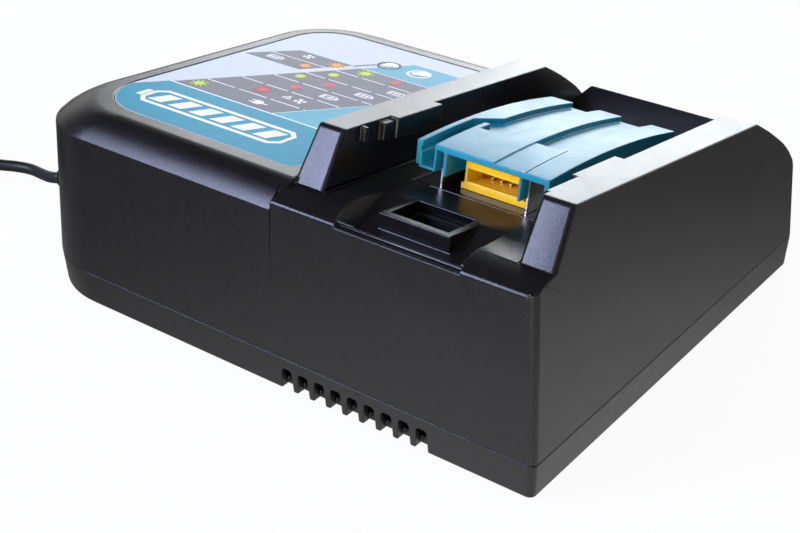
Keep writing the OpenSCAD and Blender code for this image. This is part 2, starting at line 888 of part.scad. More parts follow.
module signal_contacts() {
    bottom = -bay_drop;
    color("#d9c27a")
        in_bay()
            for (k = [0:5]) {
                box(contact_x(k) - 0.3, contact_x(k) + 0.3, connector_v + 6, connector_v + 8.8,
                    bottom - 8, bottom + 3);
                box(contact_x(k) - 0.3, contact_x(k) + 0.3, connector_v + 7.6, connector_v + 10.6,
                    bottom + 2.3, bottom + 5.2);
            }
}

// Space under the arched top of the cover, lowered by drop
module arch(drop) {
    translate([0, cover_crest_v, cover_crest_w - cover_arc_r])
        rotate([0, 90, 0])
            cylinder(h = 120, r = cover_arc_r - drop, $fn = 400);
}

module terminal_cover() {
    web_l = guide_l - guide_t - slide_gap;
    web_r = guide_r + guide_t + slide_gap;
    foot_w = guide_top - 1.2 - slide_gap;
    low = -bay_drop;
    color("#1b7f96")
        in_bay()
            union() {
                difference() {
                    intersection() {
                        box(cover_l, cover_r, cover_front, cover_back, -8, 0);
                        arch(0);
                    }
                    // space under the top
                    intersection() {
                        box(cover_l + cover_t, cover_r - cover_t, -15, cover_back + 1, -9, 0);
                        arch(rib_h + cover_t);
                    }
                    intersection() {
                        box(cover_l + cover_t, cover_r - cover_t, cover_front - 1, -15 + eps, -9, 0);
                        arch(0.25 + cover_t);
                    }
                    // valleys between the ribs
                    difference() {
                        union() {
                            box(rib_1_r, rib_2_l, -16, cover_back + 1, -9, 0);
                            box(rib_2_r, rib_3_l, -14, cover_back + 1, -9, 0);
                            along_bay([[channel_l, -11], [rib_1_r + 0.1, -4], [rib_1_r + 0.1, -11]]);
                        }
                        arch(rib_h);
                    }
                    // the right half of the front plate lies a little lower
                    difference() {
                        box(rib_2_r, rib_3_l, cover_front - 1, -14 + eps, -9, 0);
                        arch(0.25);
                    }
                    // left channel
                    box(channel_l, channel_r, cover_front - 1, -11, -9, 0);
                    // room for the left blade
                    intersection() {
                        box(channel_r + channel_t, rib_1_r + 0.8, cover_front - 1, -15, -9, 0);
                        arch(cover_t);
                    }
                    // rear ends of the skirts taper up
                    along_x([[5, -9], [cover_back + 1, -9], [cover_back + 1, -7.2], [5, -8]], 0, 90);
                }
                // left channel walls and floor
                box(cover_l, channel_l, cover_front, -11, -10.8, -7);
                box(channel_r, channel_r + channel_t, cover_front, -11, -11.4, channel_top);
                box(cover_l + 1.05, channel_r + channel_t, cover_front, -11, -11.6, -10.8);
                box(cover_l, channel_r + channel_t, -12, -10.6, -11.6, -5.2);
                // webs with feet under the lips of the guide rails
                box(web_l - 1, web_l, cover_front, 14, foot_w - 1.2, -5.2);
                box(web_l - 1, guide_l - slide_gap, -10, 14, foot_w - 1.2, foot_w);
                box(web_r, web_r + 0.9, cover_front, 14, foot_w - 1.2, -5.2);
                box(guide_r + slide_gap, web_r + 0.9, -10, 14, foot_w - 1.2, foot_w);
                // spring tabs
                difference() {
                    union() {
                        box(cover_l + 0.6, web_l - 0.5, tab_v, tab_v + tab_t, -13, -5);
                        box(web_r + 0.5, cover_r - 0.6, tab_v, tab_v + tab_t, -13, -5);
                    }
                    for (x = spring_x)
                        translate([x, tab_v + tab_t + 1, spring_w])
                            rotate([90, 0, 0])
                                cylinder(h = tab_t + 2, r = pin_r + 0.2);
                }
                // small ribs on the top
                intersection() {
                    union() {
                        box(rib_2_l - 1.6, rib_2_r - 1.6, 9.5, 10.2, -6, -3);
                        translate([rib_3_l - 1.5, -4.6, -6])
                            rotate([0, 0, -60])
                                box(0, 7.6, -0.3, 0.3, 0, 3);
                    }
                    arch(rib_h - 0.5);
                }
            }
}

// Extrudes an (x, v) outline through the whole cover
module along_bay(points) {
    translate([0, 0, -9])
        linear_extrude(10)
            polygon(points);
}

module spring_helix(length) {
    steps = 14;
    route = [
        for (i = [0:spring_turns * steps])
            [spring_r * cos(360 * i / steps), spring_r * sin(360 * i / steps),
                spring_wire / 2 + (length - spring_wire) * i / (spring_turns * steps)]
    ];
    tube(route, spring_wire / 2, 6);
}

module cover_springs() {
    length = stop_v - tab_v - tab_t;
    color("#b9bcc0")
        in_bay()
            for (x = spring_x)
                translate([x, stop_v, spring_w])
                    rotate([90, 0, 0])
                        spring_helix(length);
}

module spring_pins() {
    color("#c8cacd")
        in_bay()
            for (x = spring_x)
                translate([x, stop_v + stop_t + 0.5, spring_w])
                    rotate([90, 0, 0])
                        union() {
                            cylinder(h = cover_travel + 9, r = pin_r);
                            translate([0, 0, -0.6])
                                cylinder(h = 1.1, r = 1.8);
                        }
}

// ---- air ----

module air_duct() {
    outer = fan_size / 2 + collar_t + 0.2;
    inner = fan_size / 2 + 0.2;
    neck_x = outlet_w / 2 - 0.3;
    neck_y = outlet_l / 2 - 0.3;
    color("#26262a")
        difference() {
            union() {
                box(fan_x - outer, fan_x + outer, fan_y - outer, fan_y + outer, duct_z - 5, duct_z + 6);
                box(outlet_x - neck_x, outlet_x + neck_x, outlet_y - neck_y, outlet_y + neck_y, duct_z + 5,
                    duct_top);
            }
            box(fan_x - inner, fan_x + inner, fan_y - inner, fan_y + inner, duct_z - 6, duct_z);
            translate([fan_x, fan_y, duct_z - 1])
                cylinder(h = 5, r = fan_size / 2 - 1);
            for (dx = [-fan_hole, fan_hole])
                for (dy = [-fan_hole, fan_hole])
                    translate([fan_x + dx, fan_y + dy, duct_z - 1])
                        cylinder(h = 3.2, r = 3);
            box(outlet_x - neck_x + 1.2, outlet_x + neck_x - 1.2, outlet_y - neck_y + 1.2,
                outlet_y + neck_y - 1.2, duct_z - 1, case_h);
        }
}

module fan_frame() {
    r_in = fan_size / 2 - 1;
    color("#2b2b2f")
        translate([fan_x, fan_y, fan_z]) {
            difference() {
                box(-fan_size / 2, fan_size / 2, -fan_size / 2, fan_size / 2, 0, fan_h);
                translate([0, 0, -1])
                    cylinder(h = fan_h + 2, r = r_in);
                for (dx = [-fan_hole, fan_hole])
                    for (dy = [-fan_hole, fan_hole])
                        translate([dx, dy, -1])
                            cylinder(h = fan_h + 2, r = 1.7);
            }
            difference() {
                union() {
                    cylinder(h = 1.5, r = 10);
                    cylinder(h = 7, r = 2.6);
                    for (a = [45:90:315])
                        rotate([0, 0, a])
                            box(8, r_in + 1, -1, 1, 0, 1.5);
                }
                translate([0, 0, 1])
                    cylinder(h = 10, r = 1.05);
            }
        }
}

module fan_rotor() {
    hub_r = 9.5;
    tip_r = fan_size / 2 - 1.6;
    color("#3a3a3f")
        translate([fan_x, fan_y, fan_z]) {
            difference() {
                translate([0, 0, 2])
                    cylinder(h = fan_h - 2.5, r = hub_r);
                translate([0, 0, 1])
                    cylinder(h = fan_h - 3, r = hub_r - 1.3);
            }
            translate([0, 0, 1.5])
                cylinder(h = fan_h - 2.5, r = 1);
            intersection() {
                for (k = [0:fan_blades - 1])
                    rotate([0, 0, 360 * k / fan_blades])
                        translate([hub_r - 0.8, 0, fan_h / 2 + 0.7])
                            rotate([38, 0, 0])
                                box(0, 12, -4.6, 4.6, -0.5, 0.5);
                translate([0, 0, 2])
                    cylinder(h = fan_h - 2.5, r = tip_r);
            }
        }
}

module fan_screws() {
    color("#8c8f94")
        for (dx = [-fan_hole, fan_hole])
            for (dy = [-fan_hole, fan_hole])
                translate([fan_x + dx, fan_y + dy, fan_z + fan_h])
                    rotate([180, 0, 0])
                        translate([0, 0, -1.8])
                            screw(0, 0, 0, fan_h + 6, 2.6);
}

// ---- board and what stands on it ----

module main_board() {
    color("#2c6e49")
        difference() {
            union() {
                box(board_l, board_step_x, board_front, board_back, board_z, board_top);
                box(board_step_x - eps, board_r, board_step_y, board_back, board_z, board_top);
            }
            for (p = board_screw_at)
                translate([p[0], p[1], board_z - 1])
                    cylinder(h = 4, r = screw_r + 0.1);
        }
}

module board_screws() {
    color("#8c8f94")
        for (p = board_screw_at)
            translate([p[0], p[1], board_top + 1.8])
                rotate([180, 0, 0])
                    screw(0, 0, 0, 4.5, 2.8);
}

transformer_at = [board_step_x - 62, board_front + 58];

module transformer_core() {
    color("#3b3b40")
        translate([transformer_at[0], transformer_at[1], board_top])
            difference() {
                box(-18, 18, -6, 6, 2, 34);
                box(-12, -5.5, -7, 7, 7, 29);
                box(5.5, 12, -7, 7, 7, 29);
            }
}

module transformer_winding() {
    color("#e0b23c")
        translate([transformer_at[0], transformer_at[1], board_top])
            difference() {
                union() {
                    box(-11.8, 11.8, -12, 12, 8, 28);
                    box(-11.8, 11.8, -13, -6, 0, 29);
                    box(-11.8, 11.8, 6, 13, 0, 29);
                }
                box(-5.5, 5.5, -6, 6, 7, 30);
            }
}

module bulk_capacitor() {
    color("#23262f")
        translate([board_step_x - 26, board_front + 18, board_top])
            difference() {
                union() {
                    cylinder(h = 34, r = 11);
                }
                translate([0, 0, 33.4])
                    difference() {
                        cylinder(h = 1, r = 9.6);
                        box(-9, 9, -0.4, 0.4, -1, 2);
                        box(-0.4, 0.4, -9, 9, -1, 2);
                    }
            }
}

module output_capacitors() {
    color("#1f2c4a")
        for (k = [0:2])
            translate([board_step_x - 24, board_back - 40 + 13 * k, board_top])
                cylinder(h = 20, r = 5);
}

sink_1 = [board_l + 6, board_back - 11];
sink_2 = [board_r - 47, board_back - 20];

module heat_sinks() {
    color("#b4b7bb")
        translate([0, 0, board_top]) {
            box(sink_1[0], sink_1[0] + 52, sink_1[1], sink_1[1] + 2.5, 0, 28);
            for (k = [0:6])
                box(sink_1[0] + 8 * k, sink_1[0] + 1.8 + 8 * k, sink_1[1] + 2, sink_1[1] + 10, 0, 28);
            box(sink_2[0], sink_2[0] + 38, sink_2[1], sink_2[1] + 2.5, 0, 24);
            for (k = [0:4])
                box(sink_2[0] + 9 * k, sink_2[0] + 2 + 9 * k, sink_2[1] + 2, sink_2[1] + 10, 0, 24);
        }
}

module power_devices() {
    color("#202024")
        translate([0, 0, board_top])
            for (p = [sink_1 + [14, 0], sink_1 + [36, 0], sink_2 + [12, 0], sink_2 + [26, 0]]) {
                box(p[0] - 5, p[0] + 5, p[1] - 4.5, p[1], 5, 14);
                box(p[0] - 5, p[0] + 5, p[1] - 1.3, p[1], 14 - eps, 20);
                for (dx = [-2.5, 0, 2.5])
                    box(p[0] + dx - 0.4, p[0] + dx + 0.4, p[1] - 3, p[1] - 2.4, 0, 5 + eps);
            }
}

choke_at = [board_step_x - 54, board_front + 22];

module line_choke() {
    color("#4a4a50")
        translate([choke_at[0], choke_at[1], board_top + 1])
            rotate_extrude()
                translate([6, 0])
                    square([6, 11]);
}

module choke_winding() {
    color("#b5612b")
        translate([choke_at[0], choke_at[1], board_top])
            for (a = [-55, 125])
                rotate([0, 0, a])
                    rotate_extrude(angle = 110)
                        difference() {
                            translate([4.8, 0])
                                square([8.4, 13]);
                            translate([6, 1])
                                square([6, 11]);
                        }
}

fuse_at = [board_step_x - 89, board_front + 8.5];

module fuse() {
    color("#d8d8d2")
        translate([0, 0, board_top]) {
            for (x = [fuse_at[0], fuse_at[0] + 17])
                box(x, x + 4, fuse_at[1] - 2.5, fuse_at[1] + 2.5, 0, 3.2);
            rod([fuse_at[0], fuse_at[1], 3.4], [fuse_at[0] + 21, fuse_at[1], 3.4], 2.4);
        }
}

module buzzer() {
    color("#1a1a1c")
        translate([board_l + 13, board_back - 28, board_top])
            difference() {
                cylinder(h = 8.5, r = 6);
                translate([0, 0, 7])
                    cylinder(h = 3, r = 1);
            }
}

module terminal_strip() {
    color("#3f7f52")
        translate([board_l + 6, exit_y, board_top])
            difference() {
                box(-4, 4, -8, 8, 0, 10);
                for (dy = [-4, 4]) {
                    translate([-5, dy, 4])
                        rotate([0, 90, 0])
                            cylinder(h = 6, r = 1.5);
                    translate([0, dy, 6])
                        cylinder(h = 5, r = 2);
                }
            }
}

module mains_leads() {
    color("#3b3b3f")
        rod([cord_start[0] + 0.5, exit_y, exit_z], [clamp_x + 5, exit_y, exit_z], cord_d / 2);
    color("#7a4a2a")
        for (s = [-1, 1])
            tube([[clamp_x + 4, exit_y + s, exit_z], [clamp_x + 6.5, exit_y + 1.3 * s, exit_z + 0.2],
                [clamp_x + 9, exit_y + 2.6 * s, exit_z + 1], [board_l - 1, exit_y + 3.8 * s, board_top + 4],
                [board_l + 5, exit_y + 4 * s, board_top + 4]], 0.9, 8);
}

module battery_leads() {
    low = -bay_drop - floor_t - 5;
    tail_y = (blade_front + 7) * cos(bay_tilt) + low * sin(bay_tilt);
    tail_z = bay_ref_z - (blade_front + 7) * sin(bay_tilt) + low * cos(bay_tilt);
    color("#a33a30")
        for (s = [-1, 1]) {
            side = blade_mid(s) + s * (blade_t / 2 + 1.1);
            tube([[side, tail_y - 1, tail_z + 1], [side, tail_y + 4, tail_z - 1],
                [side, tail_y + 10, tail_z - 6], [side, tail_y + 16, tail_z - 14],
                [side, board_step_y + 13, board_top + 10.4], [side, board_step_y + 15, board_top + 4.4],
                [side, board_step_y + 16, board_top]], 1.1, 8);
        }
}

// ---- mains cord ----

module cord_guard() {
    color("#202023")
        difference() {
            union() {
                translate([guard_route[0][0] + 2.6, exit_y, exit_z])
                    rotate([0, -90, 0])
                        cylinder(h = 4, r = guard_radius[0]);
                translate([guard_route[0][0] + 2.6, exit_y, exit_z])
                    rotate([0, -90, 0])
                        cylinder(h = 1.4, r = guard_flange_r);
                tapered_tube(guard_route, guard_radius, 24);
            }
            translate([clamp_x - 6, exit_y, exit_z])
                rotate([0, -90, 0])
                    cylinder(h = 3.5, r = cord_d / 2);
        }
}

module cord_clamp() {
    color("#3a3a3e")
        difference() {
            box(clamp_x - 3, clamp_x + 3, exit_y - 11, exit_y + 11, clamp_z, clamp_z + clamp_h);
            rod([clamp_x + 4, exit_y, exit_z], [clamp_x - 4, exit_y, exit_z], cord_d / 2);
            box(clamp_x - 4, clamp_x + 4, exit_y - cord_d / 2, exit_y + cord_d / 2, clamp_z - 0.8, exit_z);
            for (dy = [-8, 8])
                translate([clamp_x, exit_y + dy, clamp_z - 0.8])
                    cylinder(h = clamp_h + 2, r = screw_r + 0.1);
        }
}

module clamp_screws() {
    color("#8c8f94")
        for (dy = [-8, 8])
            translate([clamp_x, exit_y + dy, clamp_z + clamp_h + 1.8])
                rotate([180, 0, 0])
                    screw(0, 0, 0, 9, 2.6);
}

module power_cord() {
    color("#26262a")
        tube(cord_route, cord_d / 2, 10);
}

module cord_tail() {
    color("#26262a")
        tube(tail_route, cord_d / 2, 10);
}

module coil_section(grow) {
    translate([coil_d / 2 - coil_half - grow, tie_t - grow])
        square([2 * (coil_half + grow), coil_h + 2 * grow]);
}

module cord_coil() {
    color("#26262a")
        translate([coil_at[0], coil_at[1], 0])
            rotate_extrude()
                coil_section(0);
}

module cord_tie() {
    color("#d8d8d8")
        translate([coil_at[0], coil_at[1], 0])
            rotate([0, 0, -70])
                rotate_extrude(angle = 16)
                    difference() {
                        coil_section(tie_t);
                        coil_section(0);
                    }
}

module plug_frame() {
    translate(plug_at)
        rotate([0, 0, plug_turn])
            children();
}

module plug_body() {
    half_w = plug_body_w / 2;
    color("#202023")
        plug_frame() {
            rotate([0, 90, 0])
                cylinder(h = plug_neck_l + 6, r1 = 3.2, r2 = 5.6);
            translate([0, 0, -plug_body_h / 2])
                linear_extrude(plug_body_h)
                    polygon([[plug_neck_l, -5], [plug_neck_l + 6, -7], [plug_neck_l + 14, -half_w + 2],
                        [plug_neck_l + 18, -half_w], [plug_body_l, -half_w], [plug_body_l, half_w],
                        [plug_neck_l + 18, half_w], [plug_neck_l + 14, half_w - 2], [plug_neck_l + 6, 7],
                        [plug_neck_l, 5]]);
        }
}

module plug_pins() {
    color("#c9ccd0")
        plug_frame()
            for (s = [-1, 1])
                translate([plug_body_l, s * pin_pitch / 2, 0])
                    rotate([0, 90, 0]) {
                        cylinder(h = pin_l - pin_d / 2, r = pin_d / 2);
                        translate([0, 0, pin_l - pin_d / 2])
                            sphere(pin_d / 2);
                    }
}

upper_case();
lower_case();
label_panel();
indicator_lenses();
rubber_feet();
case_screws();
terminal_base();
power_blades();
connector_housing();
signal_contacts();
terminal_cover();
cover_springs();
spring_pins();
air_duct();
fan_frame();
fan_rotor();
fan_screws();
main_board();
board_screws();
transformer_core();
transformer_winding();
bulk_capacitor();
output_capacitors();
heat_sinks();
power_devices();
line_choke();
choke_winding();
fuse();
buzzer();
terminal_strip();
led_board();
led_lamps();
mains_leads();
battery_leads();
cord_guard();
cord_clamp();
clamp_screws();
power_cord();
cord_coil();
cord_tail();
cord_tie();
plug_body();
plug_pins();
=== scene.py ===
import json
import math
from functools import partial
import bmesh
import bpy
from mathutils import Matrix, Vector
from mathutils.bvhtree import BVHTree
from mathutils.geometry import convex_hull_2d, delaunay_2d_cdt


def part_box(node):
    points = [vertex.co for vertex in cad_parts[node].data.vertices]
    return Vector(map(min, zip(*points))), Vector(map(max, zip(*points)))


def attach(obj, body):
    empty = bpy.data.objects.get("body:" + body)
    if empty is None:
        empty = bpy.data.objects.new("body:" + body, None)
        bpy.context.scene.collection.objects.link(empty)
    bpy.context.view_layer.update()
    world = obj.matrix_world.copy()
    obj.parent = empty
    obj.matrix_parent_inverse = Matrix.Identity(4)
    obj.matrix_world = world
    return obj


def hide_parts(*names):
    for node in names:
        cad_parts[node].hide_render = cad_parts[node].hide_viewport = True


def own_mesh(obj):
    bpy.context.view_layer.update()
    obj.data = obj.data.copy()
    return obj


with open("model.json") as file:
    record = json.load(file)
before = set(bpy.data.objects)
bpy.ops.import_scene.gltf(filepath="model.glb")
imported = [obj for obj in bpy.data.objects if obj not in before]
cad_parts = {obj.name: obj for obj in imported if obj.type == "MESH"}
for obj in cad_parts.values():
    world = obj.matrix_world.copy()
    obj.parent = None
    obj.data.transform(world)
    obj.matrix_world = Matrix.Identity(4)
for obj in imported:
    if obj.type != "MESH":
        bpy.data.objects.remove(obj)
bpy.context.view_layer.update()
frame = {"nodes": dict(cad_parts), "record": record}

scene = bpy.context.scene
cad = frame["nodes"]
bodyOf = {node: body for body, nodes in frame["record"]["behaviour"]["bodies"].items() for node in nodes}
mm = 0.001

# the battery bay and the label deck slope up to the back: tilt, and height in mm at y = 0
bayTilt, bayHeight = math.radians(8.81), 66.632
deckTilt, deckHeight = math.radians(6.84), 54.3
smoothBelow = math.radians(35)  # an edge that turns less is shaded smooth


def linearColour(code):
    parts = [int(code[i:i + 2], 16) / 255 for i in (1, 3, 5)]
    return tuple(c / 12.92 if c <= 0.04045 else ((c + 0.055) / 1.055) ** 2.4 for c in parts) + (1.0,)


def perMetre(size):
    # how many cells of a size in mm lie along one metre, which is the scale of a texture
    return 1 / (size * mm)


def addNode(tree, kind, inputs=None, **settings):
    # an input takes a value, a socket, a node for its first output, or a list where it takes several
    node = tree.nodes.new(kind)
    for name, value in settings.items():
        setattr(node, name, value)
    for name, value in (inputs or {}).items():
        for source in value if isinstance(value, list) else [value]:
            if isinstance(source, bpy.types.Node):
                source = source.outputs[0]
            if isinstance(source, bpy.types.NodeSocket):
                tree.links.new(source, node.inputs[name])
            else:
                node.inputs[name].default_value = source
    return node


def bayPoint(x, v, w):
    # v runs back down the slope of the bay, w stands square to it, both in mm
    c, s = math.cos(bayTilt), math.sin(bayTilt)
    return Vector((x, v * c + w * s, bayHeight - v * s + w * c)) * mm


def deckPoint(x, y, lift):
    # a point over the label deck, y is level and lift is square to the deck
    c, s = math.cos(deckTilt), math.sin(deckTilt)
    return Vector((x, y + lift * s, deckHeight - y * s / c + lift * c)) * mm


def addObject(name, data):
    made = bpy.data.objects.new(name, data)
    scene.collection.objects.link(made)
    return made


def meshFrom(name, bm):
    mesh = bpy.data.meshes.new(name)
    bm.to_mesh(mesh)
    bm.free()
    return mesh


def newPiece(name, mesh, like, materials, replaced=()):
    # like is the imported part whose body the new piece takes
    piece = addObject(name, mesh)
    for m in materials:
        mesh.materials.append(m)
    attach(piece, bodyOf[like])
    if replaced:
        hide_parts(*replaced)
    return piece


def pieceFromBmesh(name, bm, like, materials, replaced=()):
    bmesh.ops.recalc_face_normals(bm, faces=bm.faces)
    mesh = meshFrom(name, bm)
    mesh.set_sharp_from_angle(angle=smoothBelow)
    print("made:", name, len(mesh.polygons), "faces")
    return newPiece(name, mesh, like, materials, replaced)


def evaluatedMesh(holder):
    # what the modifiers of an object make of its mesh
    return bpy.data.meshes.new_from_object(holder.evaluated_get(bpy.context.evaluated_depsgraph_get()))


# place in metres, angles in degrees
cameraView = {"place": (0.248717, -0.331404, 0.242772), "heading": 37.264, "down": 30.188, "roll": -0.246,
              "lens": 67.92, "sensor": 36, "near": 0.01}


def makeCamera():
    view = cameraView
    data = bpy.data.cameras.new("productCamera")
    data.sensor_width = view["sensor"]
    data.lens = view["lens"]
    data.clip_start = view["near"]
    camera = addObject("productCamera", data)
    turn = (Matrix.Rotation(math.radians(view["heading"]), 4, "Z")
            @ Matrix.Rotation(math.radians(90 - view["down"]), 4, "X")
            @ Matrix.Rotation(math.radians(view["roll"]), 4, "Z"))
    camera.matrix_world = Matrix.Translation(view["place"]) @ turn
    scene.camera = camera
    print("camera: lens", view["lens"], "mm")


# lengths in mm, angles in degrees
mainsCord = {
    "diameter": 4.0,
    # from the case through the bend guard
    "guardRoute": [(-93, -25, 11.8), (-101, -25.2, 11.4), (-108, -25.7, 10.4), (-115, -26.3, 9),
                   (-122, -27, 7.3), (-130, -27.8, 5.2)],
    # along the table to the stored coil
    "tableRoute": [(-136, -27.8, 3.6), (-142, -26.8, 2.6), (-149, -26, 2.1), (-155, -27.6, 2.1),
                   (-160, -29.9, 2.1), (-168, -33.2, 2.2), (-174, -35.2, 2.5)],
    "coilAt": (-188, -64), "coilMiddle": 24.0, "pitch": 4.08, "floor": 0.8, "layers": 4, "ringsPerLayer": 3,
    "enterAngle": 100, "leaveAngle": 3795, "stepAngle": 45, "pointsPerTurn": 16,
    # from the coil to the plug
    "plugRoute": [(-212, -86, 12.8), (-207, -96, 10.4), (-201.5, -105, 8.4), (-196.5, -113, 7.2),
                  (-193.5, -120, 7)],
}


def coilKeys():
    # angle, radius and height where the cord starts or ends a step to the next ring or layer
    c = mainsCord
    radii = [c["coilMiddle"] + c["pitch"] * (1 - k) for k in range(c["ringsPerLayer"])]
    keys = []
    angle = c["enterAngle"]
    for layer in range(c["layers"]):
        height = c["floor"] + c["pitch"] * (layer + 0.5)
        order = radii if layer % 2 == 0 else radii[::-1]
        keys.append((angle, order[0], height))
        angle += 360 - 2 * c["stepAngle"]
        keys.append((angle, order[0], height))
        for k in range(1, len(order)):
            keys.append((angle + c["stepAngle"], order[k], height))
            angle += 360
            if k < len(order) - 1:
                keys.append((angle, order[k], height))
        # the climb ends before the first step of this layer comes round again
        keys.append((angle - c["stepAngle"], order[-1], height))
    return keys


def coilRoute():
    c, keys, points = mainsCord, coilKeys(), []
    gap = 360 / c["pointsPerTurn"]
    for i in range(int((c["leaveAngle"] - c["enterAngle"]) / gap) + 1):
        a = c["enterAngle"] + i * gap
        k = max(k for k in range(len(keys)) if keys[k][0] <= a + 1e-6)
        (a0, r0, z0), (a1, r1, z1) = keys[k:k + 2]
        t = (a - a0) / (a1 - a0)
        t = t * t * (3 - 2 * t)
        r, z = r0 + (r1 - r0) * t, z0 + (z1 - z0) * t
        turn = math.radians(a)
        points.append((c["coilAt"][0] + r * math.cos(turn), c["coilAt"][1] + r * math.sin(turn), z))
    return points


def makeCord(sheath):
    route = mainsCord["guardRoute"] + mainsCord["tableRoute"] + coilRoute() + mainsCord["plugRoute"]
    curve = bpy.data.curves.new("mainsCord", "CURVE")
    curve.dimensions = "3D"
    curve.bevel_depth = mainsCord["diameter"] / 2 * mm
    curve.bevel_resolution = 4
    curve.resolution_u = 3
    curve.use_fill_caps = True
    spline = curve.splines.new("BEZIER")
    spline.bezier_points.add(len(route) - 1)
    for p, place in zip(spline.bezier_points, route):
        p.co = Vector(place) * mm
        p.handle_left_type = p.handle_right_type = "AUTO"
    cord = addObject("mainsCord", curve)
    curve.materials.append(sheath)
    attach(cord, "case")
    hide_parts("power_cord", "cord_coil", "cord_tail")
    length = sum((Vector(b) - Vector(a)).length for a, b in zip(route, route[1:])) * mm
    print("cord:", len(route), "points,", round(length, 3), "m")
    return cord, length


# lengths and places in metres
studio = {
    # own: how white the paper looks by itself; gloss sees a painted pool of light glowing on it in front, dim
    # paper round that
    "table": {"half": 3.0, "colour": "#f4f4f5", "fibre": "#fafafa", "own": 0.93, "pool": (0.12, -0.1, 0.0),
              "reach": 0.27, "lit": 0.95, "dim": 0.2},
    # the room as gloss sees it: a white backdrop low behind, dark above and in front; fill lights the rest
    "room": {"fill": 0.34, "backdrop": 1.0, "dark": 0.06, "fadeUp": (0.22, 0.5), "fadeBack": (-0.2, 0.6)},
    # name: centre, aim, width, height, watts, colour
    "lamps": {
        "backSoftbox": [(-0.16, 1.1, 0.33), (0.03, 0.0, 0.06), 0.86, 0.62, 9.6, "#f4faff"],
        "leftSoftbox": [(-0.85, 1.1, 0.33), (0.03, 0.0, 0.06), 0.5, 0.5, 2.6, "#f4faff"],
        "frontSoftbox": [(-0.62, -0.86, 0.64), (0.03, -0.03, 0.06), 0.5, 0.5, 18.0, "#bfc8f0"],
        "topSoftbox": [(0.15, -0.1, 1.25), (0.0, 0.0, 0.0), 0.8, 0.8, 0.8, "#ffffff"],
        "lowCard": [(0.3, -0.75, 0.14), (0.04, -0.03, 0.05), 0.4, 0.25, 3.4, "#fffaf2"],
    },
}


def clearTree(owner):
    # gives what adds a node, where only gloss looks, and where the camera looks, also through clear parts
    owner.use_nodes = True
    owner.node_tree.nodes.clear()
    add = partial(addNode, owner.node_tree)
    rays = add("ShaderNodeLightPath").outputs
    direct = add("ShaderNodeMath", {0: rays["Is Camera Ray"], 1: rays["Is Transmission Ray"]},
                 operation="MAXIMUM")
    return add, rays["Is Glossy Ray"], direct


def makeTable():
    s = studio["table"]
    h = s["half"]
    mesh = bpy.data.meshes.new("table")
    mesh.from_pydata([(-h, -h, 0), (h, -h, 0), (h, h, 0), (-h, h, 0)], [], [(0, 1, 2, 3)])
    table = addObject("table", mesh)
    paper = bpy.data.materials.new("whitePaperSweep")  # matt paper roll, overexposed to white behind the object
    add, gloss, direct = clearTree(paper)
    place = add("ShaderNodeTexCoord").outputs["Object"]
    fibre = add("ShaderNodeTexNoise", {"Vector": place, "Scale": perMetre(1.1111), "Detail": 3})
    tint = add("ShaderNodeMix", {0: fibre, 6: linearColour(s["colour"]), 7: linearColour(s["fibre"])},
               data_type="RGBA")
    matt = add("ShaderNodeBsdfDiffuse", {"Color": tint.outputs[2]})
    plain = add("ShaderNodeMath", {0: direct, 1: s["own"]}, operation="MULTIPLY")
    white = add("ShaderNodeEmission", {"Strength": 1.0})
    shown = add("ShaderNodeMixShader", {0: plain, 1: matt, 2: white})
    # what the gloss sees of the table is only its own glow, a painted pool of light that stands in for the
    # lamps' light on it, because the lamps would double it
    away = add("ShaderNodeVectorMath", {0: place, 1: s["pool"]}, operation="DISTANCE")
    level = add("ShaderNodeMapRange", {"Value": away.outputs["Value"], "From Min": 0.0, "From Max": s["reach"],
                "To Min": s["lit"], "To Max": s["dim"]}, interpolation_type="SMOOTHSTEP")
    pool = add("ShaderNodeEmission", {"Strength": level})
    both = add("ShaderNodeMixShader", {0: gloss, 1: shown, 2: pool})
    add("ShaderNodeOutputMaterial", {"Surface": both})
    mesh.materials.append(paper)


def makeRoom():
    s = studio["room"]
    scene.world = bpy.data.worlds.new("studioWorld")
    add, gloss, direct = clearTree(scene.world)
    view = add("ShaderNodeTexCoord").outputs["Generated"]
    way = add("ShaderNodeSeparateXYZ", {"Vector": view}).outputs
    # the backdrop fades out with height, and toward the front
    low = add("ShaderNodeMapRange", {"Value": way["Z"], "From Min": s["fadeUp"][0], "From Max": s["fadeUp"][1],
              "To Min": 1.0, "To Max": 0.0}, interpolation_type="SMOOTHSTEP")
    behind = add("ShaderNodeMapRange", {"Value": way["Y"], "From Min": s["fadeBack"][0],
                 "From Max": s["fadeBack"][1]}, interpolation_type="SMOOTHSTEP")
    where = add("ShaderNodeMath", {0: low, 1: behind}, operation="MULTIPLY")
    seen = add("ShaderNodeMapRange", {"Value": where, "To Min": s["dark"], "To Max": s["backdrop"]})
    forGloss = add("ShaderNodeMix", {0: gloss, 2: s["fill"], 3: seen}, data_type="FLOAT")
    level = add("ShaderNodeMix", {0: direct, 2: forGloss, 3: 1.0}, data_type="FLOAT")
    sky = add("ShaderNodeBackground", {"Color": linearColour("#ffffff"), "Strength": level})
    add("ShaderNodeOutputWorld", {"Surface": sky})


def makeLamps():
    for name, (place, aim, width, height, watts, colour) in studio["lamps"].items():
        data = bpy.data.lights.new(name, "AREA")
        data.shape = "RECTANGLE"
        data.size = width
        data.size_y = height
        data.energy = watts
        data.color = linearColour(colour)[:3]
        lamp = addObject(name, data)
        lamp.location = place
        lamp.rotation_euler = (Vector(aim) - Vector(place)).to_track_quat("-Z", "Y").to_euler()
    print("lamps:", len(studio["lamps"]))


